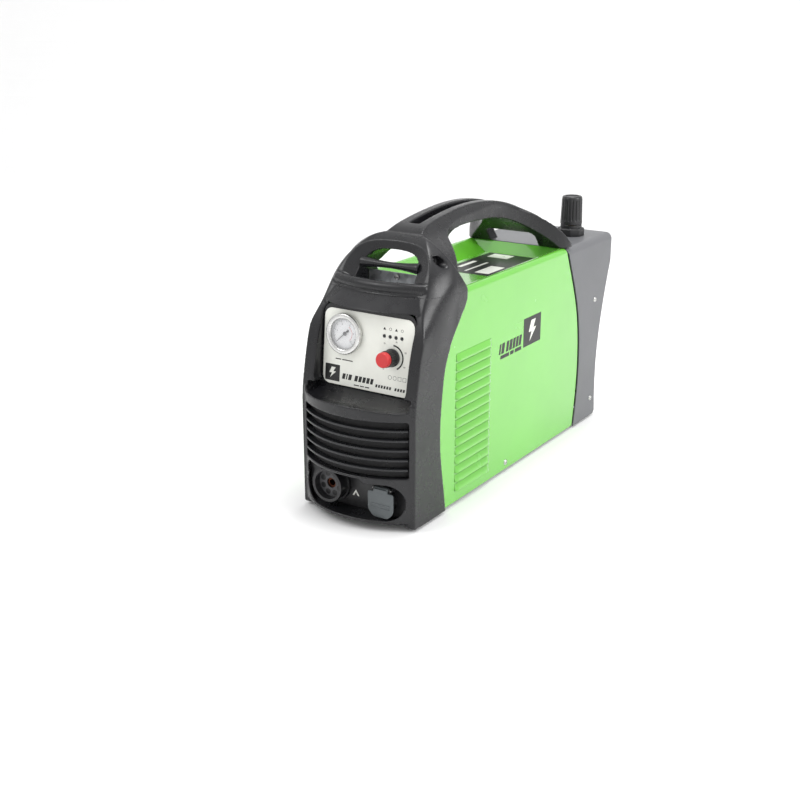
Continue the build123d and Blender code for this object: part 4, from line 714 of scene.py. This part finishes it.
lamps = []
for number in range(4):
    dome = rounded([(0, -14.4), (2.0, -14.4), (2.0, 0.3), (1.5, 0.8), (0, 0.95)], 0.3)
    lamps.append(lathe(dome, on_panel((21.4 + 7.8 * number, LAMP_UP)), 28))
piece("lamp_domes", joined(*lamps), "lamp_lens", stands_for=("indicator_lamps",))

# ---- print on the control overlay ----------------------------------------------------------
FILM = on_panel((0, 0), 0.01)
INK = 0.06


def bars(rows):
    """Solid print bars given as (left, right, bottom, top, slant)."""
    return [plate([[(left, low), (right, low), (right + slant, high), (left + slant, high)]], FILM, INK)
            for left, right, low, high, slant in rows]


ink = [plate([arc_band(13.0, 14.8, -62, 88, KNOB)], FILM, INK)]
for number, angle in enumerate((232, 180, 128, 76, 24, -28)):
    spot = (KNOB[0] + 18.6 * math.cos(math.radians(angle)), KNOB[1] + 18.6 * math.sin(math.radians(angle)))
    ink.append(lettering(str(number * 10 + 10), FILM @ Matrix.Translation((*spot, 0)), 2.6))
ink += bars([(left, right, 9.6, 16.2, 1.4) for left, right in
             ((-34, -30), (-28.6, -27), (-25.4, -21.2), (-16.8, -12.6), (-11.2, -7.2), (-5.8, -1.8),
              (-0.4, 3.6), (5, 8.6))])
ink += bars([(12.4 + 3.7 * step, 14.9 + 3.7 * step, 7.6, 11, 0.7) for step in (*range(6), *range(7, 11))])
ink += bars([(-17, -10, 4.4, 5.6, 0.3), (-8.6, -3, 4.4, 5.6, 0.3), (-1.6, 4, 4.4, 5.6, 0.3),
             (-44, -36, 31.4, 32.6, 0.2), (-34.6, -20, 31.4, 32.6, 0.2)])
for number in range(4):
    x = 21.4 + 7.8 * number
    ink.append(plate([circle(1.7, (x, LAMP_UP + 8.6), 24), circle(1.3, (x, LAMP_UP + 8.6), 24)], FILM, INK)
               if number % 2 else
               plate([[(x - 1.8, LAMP_UP + 7.2), (x + 1.8, LAMP_UP + 7.2), (x, LAMP_UP + 10.4)]], FILM, INK))
for number, x in enumerate((31.5, 38, 44.5, 51)):
    outer, inner = (circle(2.4, (x, 22), 28), circle(2.0, (x, 22), 28)) if number < 2 else (
        box_outline(4.6, 4.6, 0.3, (x, 22)), box_outline(3.9, 3.9, 0.2, (x, 22)))
    ink.append(plate([outer, inner], FILM, INK))
piece("overlay_print", joined(*ink), "pointer_black")
BADGE = (-47.5, 15.0)
badge = plate([box_outline(20.5, 19.5, 0.8, BADGE)], FILM, 0.05)
piece("overlay_badge", badge, "pointer_black")
spark = [(-1.4, 6.4), (4.2, 6.4), (1.2, 1.4), (5.0, 1.4), (-3.4, -6.6), (-0.8, -0.6), (-4.6, -0.6)]
badge_spark = [(BADGE[0] + x, BADGE[1] + y) for x, y in spark]
piece("overlay_spark", plate([badge_spark], on_panel((0, 0), 0.06), 0.04), "overlay_film")

# ---- painted shade in the torch socket's contact bores: black discs on their mouths --------
SOCKET_FLOOR, CONTACT_RING, SHADE_DISC_RADIUS = -6.0, 12.2, 3.4
socket_face = basis(mm(TORCH[0], SOCKET_FLOOR - 0.03, TORCH[1]), (1, 0, 0), FORWARD)
bore_shade_discs = []
for number in range(8):
    angle = math.radians(22.5 + 45 * number)
    spot = (CONTACT_RING * math.cos(angle), CONTACT_RING * math.sin(angle))
    bore_shade_discs.append(plate([circle(SHADE_DISC_RADIUS, spot, 32)], socket_face, 0.08))
# the black discs are painted shade for the dark inside of the bores
piece("contact_bores_painted_shade", joined(*bore_shade_discs), "pointer_black")
lands_place = socket_face @ Matrix.Translation((0, 0, -0.01))
lands = plate([circle(16.6, steps=72), circle(6.2, steps=48)], lands_place, 0.06)
piece("contact_face", lands, "ferrite")

# ---- arrow mark between the sockets --------------------------------------------------------
FRONT_FACE = basis(mm(0, 2, 0), (1, 0, 0), FORWARD)
arrow = [(-8.6, 27.0), (-3.6, 34.6), (1.2, 27.0), (-1.2, 27.0), (-3.7, 31.2), (-6.3, 27.0)]
piece("socket_arrow", plate([arrow], FRONT_FACE, 0.08), "overlay_film")

# ---- earth flap ----------------------------------------------------------------------------
FLAP_AXIS = (-8.5, 48.5)
flap_face = basis(mm(EARTH[0], -10.5, EARTH[1]), (1, 0, 0), FORWARD)
flap_outline = rounded([(-17, 14), (-9.2, 14), (-9.2, 17.5), (9.2, 17.5), (9.2, 14), (17, 14), (17, -9),
                        (10, -17), (-10, -17), (-17, -9)], 4.2, True, 6)
flap_parts = [plate([[tuple(p) for p in flap_outline]], flap_face, 2.5, 0.7)]
for height in (-1, -5.5):
    rib = [tuple(p) for p in box_outline(26, 1.5, 0.6, (0, height))]
    flap_parts.append(plate([rib], flap_face @ Matrix.Translation((0, 0, 2.3)), 1.0, 0.3))
hinge_place = basis(mm(EARTH[0] - 9.2, *FLAP_AXIS), (0, 0, 1), (1, 0, 0))
barrel = rounded([(1.27, 0), (2.8, 0), (2.8, 18.4), (1.27, 18.4)], 0.4, True)
flap_parts.append(lathe(barrel, hinge_place, 36, closed=True))
piece("flap_cover", joined(*flap_parts), "flap_grey", body="flap", stands_for=("earth_flap",))

# ---- regulator knob and ring nut -----------------------------------------------------------
REG_PLACE = basis(mm(*REGULATOR, 0), (1, 0, 0), (0, 0, 1))
reg_rings = [(7.8, 277.2), (14.6, 276.7), (15.0, 277.2), (15.0, 281.0), (14.8, 282.0)]
reg_rings += [(14.75 - 0.8 * step / 12, 282.4 + 2.35 * step) for step in range(13)]
reg_rings += [(13.7, 311.8), (13.4, 313.4), (12.4, 314.6), (11.0, 315.0), (9.8, 314.6), (9.4, 313.8),
              (0, 313.7)]
piece("regulator_grip", lathe(reg_rings, REG_PLACE, 216, fluted(18, 0.95, 281.6, 311.6)), "knob_black",
      body="regulator_cap", stands_for=("regulator_knob",))


def eight_sided(angle, radius, height):
    """Regular octagon with eased corners; small radii stay round."""
    if radius < 14:
        return radius
    sector = (angle + math.pi / 8) % (math.pi / 4) - math.pi / 8
    return min(radius * 0.925 / math.cos(sector), radius * 0.985)


nut = rounded([(13.1, 261.1), (18.6, 261.1), (18.6, 270.2), (17.0, 271.9), (13.1, 271.9)], 0.7, True)
collar = rounded([(13.1, 271.9), (14.6, 271.9), (14.6, 275.8), (13.1, 275.8)], 0.4, True)
piece("ring_nut", joined(lathe(nut, REG_PLACE, 160, eight_sided, closed=True),
                         lathe(collar, REG_PLACE, 96, closed=True)), "black_plastic",
      stands_for=("regulator_nut",))

# ---- feet, fan guard, gland and inlet ------------------------------------------------------
foot = rounded([(2.1, 5.95), (10.6, 5.95), (11.0, 4.6), (10.4, 0.9), (9.4, 0.0), (5.2, 0.0), (4.6, 0.6),
                (4.6, 3.0), (2.1, 3.0)], 0.5, True)
feet = []
for x in (-56, 56):
    for depth in (66, 440):
        feet.append(lathe(foot, basis(mm(x, depth, 0), (1, 0, 0), (0, 0, 1)), 48, closed=True))
piece("rubber_buttons", joined(*feet), "foot_rubber", stands_for=("rubber_feet",))

PANEL_BACK = 481.0
GUARD = basis(mm(-26, PANEL_BACK + 1.2, 47), (-1, 0, 0), BACKWARD)


def wire_ring(radius, height, thick):
    section = [(radius + thick * math.cos(a), height + thick * math.sin(a))
               for a in (2 * math.pi * step / 10 for step in range(10))]
    return lathe(section, GUARD, 72, closed=True)


def wire_bar(start, end, thick):
    start, end = Vector((*start, -0.1)), Vector((*end, -0.1))
    way = (end - start).normalized()
    side = way.cross(Vector((0, 0, 1)))
    section = [(thick * math.cos(a), thick * math.sin(a)) for a in
               (2 * math.pi * step / 10 for step in range(10))]
    stations = [(lambda u, v, at=start.lerp(end, share): at + side * u + Vector((0, 0, v)))
                for share in (0, 0.5, 1)]
    return swept(section, stations, GUARD)


guard = [wire_ring(radius, 0, 0.95) for radius in (9, 17, 25, 33)]
for angle in (45, 135, 225, 315):
    way = Vector((math.cos(math.radians(angle)), math.sin(math.radians(angle))))
    guard.append(wire_bar(way * 4, way * 36.5, 0.95))
hub = rounded([(0, -1.1), (5, -1.1), (5, 0.6), (4.2, 1.0), (0, 1.0)], 0.3)
guard.append(lathe(hub, GUARD, 40))
piece("guard_wires", joined(*guard), "bright_screws", stands_for=("fan_guard",))


def six_sided(angle, radius, height):
    sector = (angle + math.pi / 6) % (math.pi / 3) - math.pi / 6
    return min(radius / math.cos(sector), radius * 1.12)


GLAND = basis(mm(52, PANEL_BACK, 28), (1, 0, 0), BACKWARD)
gland = [lathe(rounded([(4.5, 0), (10.9, 0), (10.9, 5.6), (4.5, 5.6)], 0.6, True),
               GLAND, 96, six_sided, True),
         lathe(rounded([(4.5, 5.4), (9.6, 5.4), (9.6, 11), (8.2, 17.5), (7.4, 19.8), (4.5, 19.8)], 0.8, True),
               GLAND, 144, fluted(18, 0.5, 6.4, 16), True),
         lathe(rounded([(4.5, -9), (7.9, -9), (7.9, 0), (4.5, 0)], 0.3, True), GLAND, 48, closed=True)]
piece("gland_body", joined(*gland), "black_plastic", stands_for=("cable_gland",))

INLET = basis(mm(35, PANEL_BACK, 62), (1, 0, 0), BACKWARD)
tail = [(2.4, 5.8), (5.0, 5.8)]
for barb in range(4):
    tail += [(5.0, 6.2 + 4 * barb), (4.25, 9.6 + 4 * barb)]
tail += [(5.0, 22.0), (3.8, 22.4), (3.8, 27.2), (3.2, 27.9), (2.4, 27.9)]
inlet = [lathe(rounded([(2.4, 0), (8.4, 0), (8.4, 5.9), (2.4, 5.9)], 0.5, True), INLET, 96, six_sided, True),
         lathe(rounded(tail, 0.2, True, 2), INLET, 48, closed=True),
         lathe(rounded([(2.4, -13), (5.9, -13), (5.9, 0), (2.4, 0)], 0.3, True), INLET, 48, closed=True)]
piece("inlet_tail", joined(*inlet), "brass_fittings", stands_for=("air_inlet",))

# ---- flank and top labels ------------------------------------------------------------------
for hand, word in ((1, "right"), (-1, "left")):
    flank = basis(mm(hand * (COVER_HALF + 0.02), 0, 0), (0, hand, 0), (hand, 0, 0))

    def at_flank(points, hand=hand):
        return [(hand * (FRONT + y) - hand * FRONT, z) for y, z in points]

    dark = [at_flank([(y + lean * (z - 150), z) for y, z in ((a, low), (b, low), (b, high), (a, high))])
            for a, b, low, high, lean in (
                (193, 197, 161, 174, 0.2), (199, 206, 161, 174, 0.2), (211, 217, 161, 174, 0.2),
                (219, 226, 161, 174, 0.2), (228, 234, 161, 174, 0.2), (236, 242, 161, 174, 0.2),
                (244, 250, 161, 174, 0.2), (199, 221, 154.5, 159, 0.1), (224, 233, 154.5, 159, 0.1),
                (236, 253, 154.5, 159, 0.1))]
    dark.append(at_flank([(259, 155), (306, 155), (306, 192), (259, 192)]))
    prints = [plate([outline], flank, 0.08) for outline in dark]
    piece(f"flank_print_{word}", joined(*prints), "pointer_black")
    bolt = at_flank([(282.5 + 2.1 * x, 173.5 + 2.1 * y) for x, y in spark])
    above_print = flank @ Matrix.Translation((0, 0, 0.07))
    piece(f"flank_spark_{word}", plate([bolt], above_print, 0.06), "overlay_film")

VALLEY = basis(mm(0, 304, 246.02), (0, -1, 0), (0, 0, 1))
piece("top_label", plate([box_outline(132, 70, 3)], VALLEY, 0.12), "pointer_black")
white = [box_outline(44, 20, 1.5, (34, 18)), box_outline(22, 30, 1.5, (-46, -10)),
         box_outline(58, 4, 1, (26, -6)), box_outline(42, 6, 1, (18, -24))]
piece("top_label_print", joined(*[plate([shape], VALLEY @ Matrix.Translation((0, 0, 0.1)), 0.06)
                                  for shape in white]), "overlay_film")


# ---- floor, light and camera ---------------------------------------------------------------
def studio():
    """Pale floor curving up behind, big soft lights and the photograph's viewpoint."""
    floor_mesh = bpy.data.meshes.new("floor")
    half, steps, rise = 6.0, 24, 1.6
    rows = [(-half, 0.0), (2.2, 0.0)]
    rows += [(2.2 + rise * math.sin(a), rise - rise * math.cos(a))
             for a in (math.pi / 2 * step / steps for step in range(1, steps + 1))]
    rows.append((2.2 + rise, 5.0))
    verts = [(x, y, z) for y, z in rows for x in (-half, half)]
    faces = [(2 * i, 2 * i + 1, 2 * i + 3, 2 * i + 2) for i in range(len(rows) - 1)]
    floor_mesh.from_pydata(verts, [], faces)
    floor = bpy.data.objects.new("floor", floor_mesh)
    floor.rotation_euler = (0, 0, math.radians(33))
    bpy.context.scene.collection.objects.link(floor)
    made, tree, shader = new_material("floor_paper")
    tree.links.new(mixed(tree, noise_node(tree, 3), (0.9, 0.9, 0.9, 1), (0.93, 0.93, 0.93, 1)),
                   shader.inputs["Base Color"])
    shader.inputs["Roughness"].default_value = 0.75
    floor_mesh.materials.append(made)

    scene = bpy.context.scene
    world = bpy.data.worlds.new("studio")
    world.use_nodes = True
    world.node_tree.nodes["Background"].inputs["Color"].default_value = (1, 1, 1, 1)
    world.node_tree.nodes["Background"].inputs["Strength"].default_value = 0.82
    scene.world = world
    for name, place, size, power in (
            ("key", (-1.6, -1.8, 2.6), 1.4, 22),
            ("side", (2.6, 0.4, 1.6), 1.6, 44),
            ("top", (0.1, 0.3, 2.8), 1.2, 36)):
        lamp = bpy.data.lights.new(name, "AREA")
        lamp.size = size
        lamp.energy = power
        light = bpy.data.objects.new(name, lamp)
        light.location = place
        light.rotation_mode = "QUATERNION"
        light.rotation_quaternion = (Vector((0, 0, 0.15)) - Vector(place)).to_track_quat("-Z", "Y")
        scene.collection.objects.link(light)

    lens = bpy.data.cameras.new("camera")
    lens.lens = 54.7
    lens.sensor_width = 36
    lens.clip_start = 0.05
    camera = bpy.data.objects.new("camera", lens)
    camera.location = (0.7512, -1.3029, 0.585)
    camera.rotation_euler = (math.radians(71.27), 0, math.radians(33.2))
    scene.collection.objects.link(camera)
    scene.camera = camera
    scene.view_settings.view_transform = "Standard"


studio()
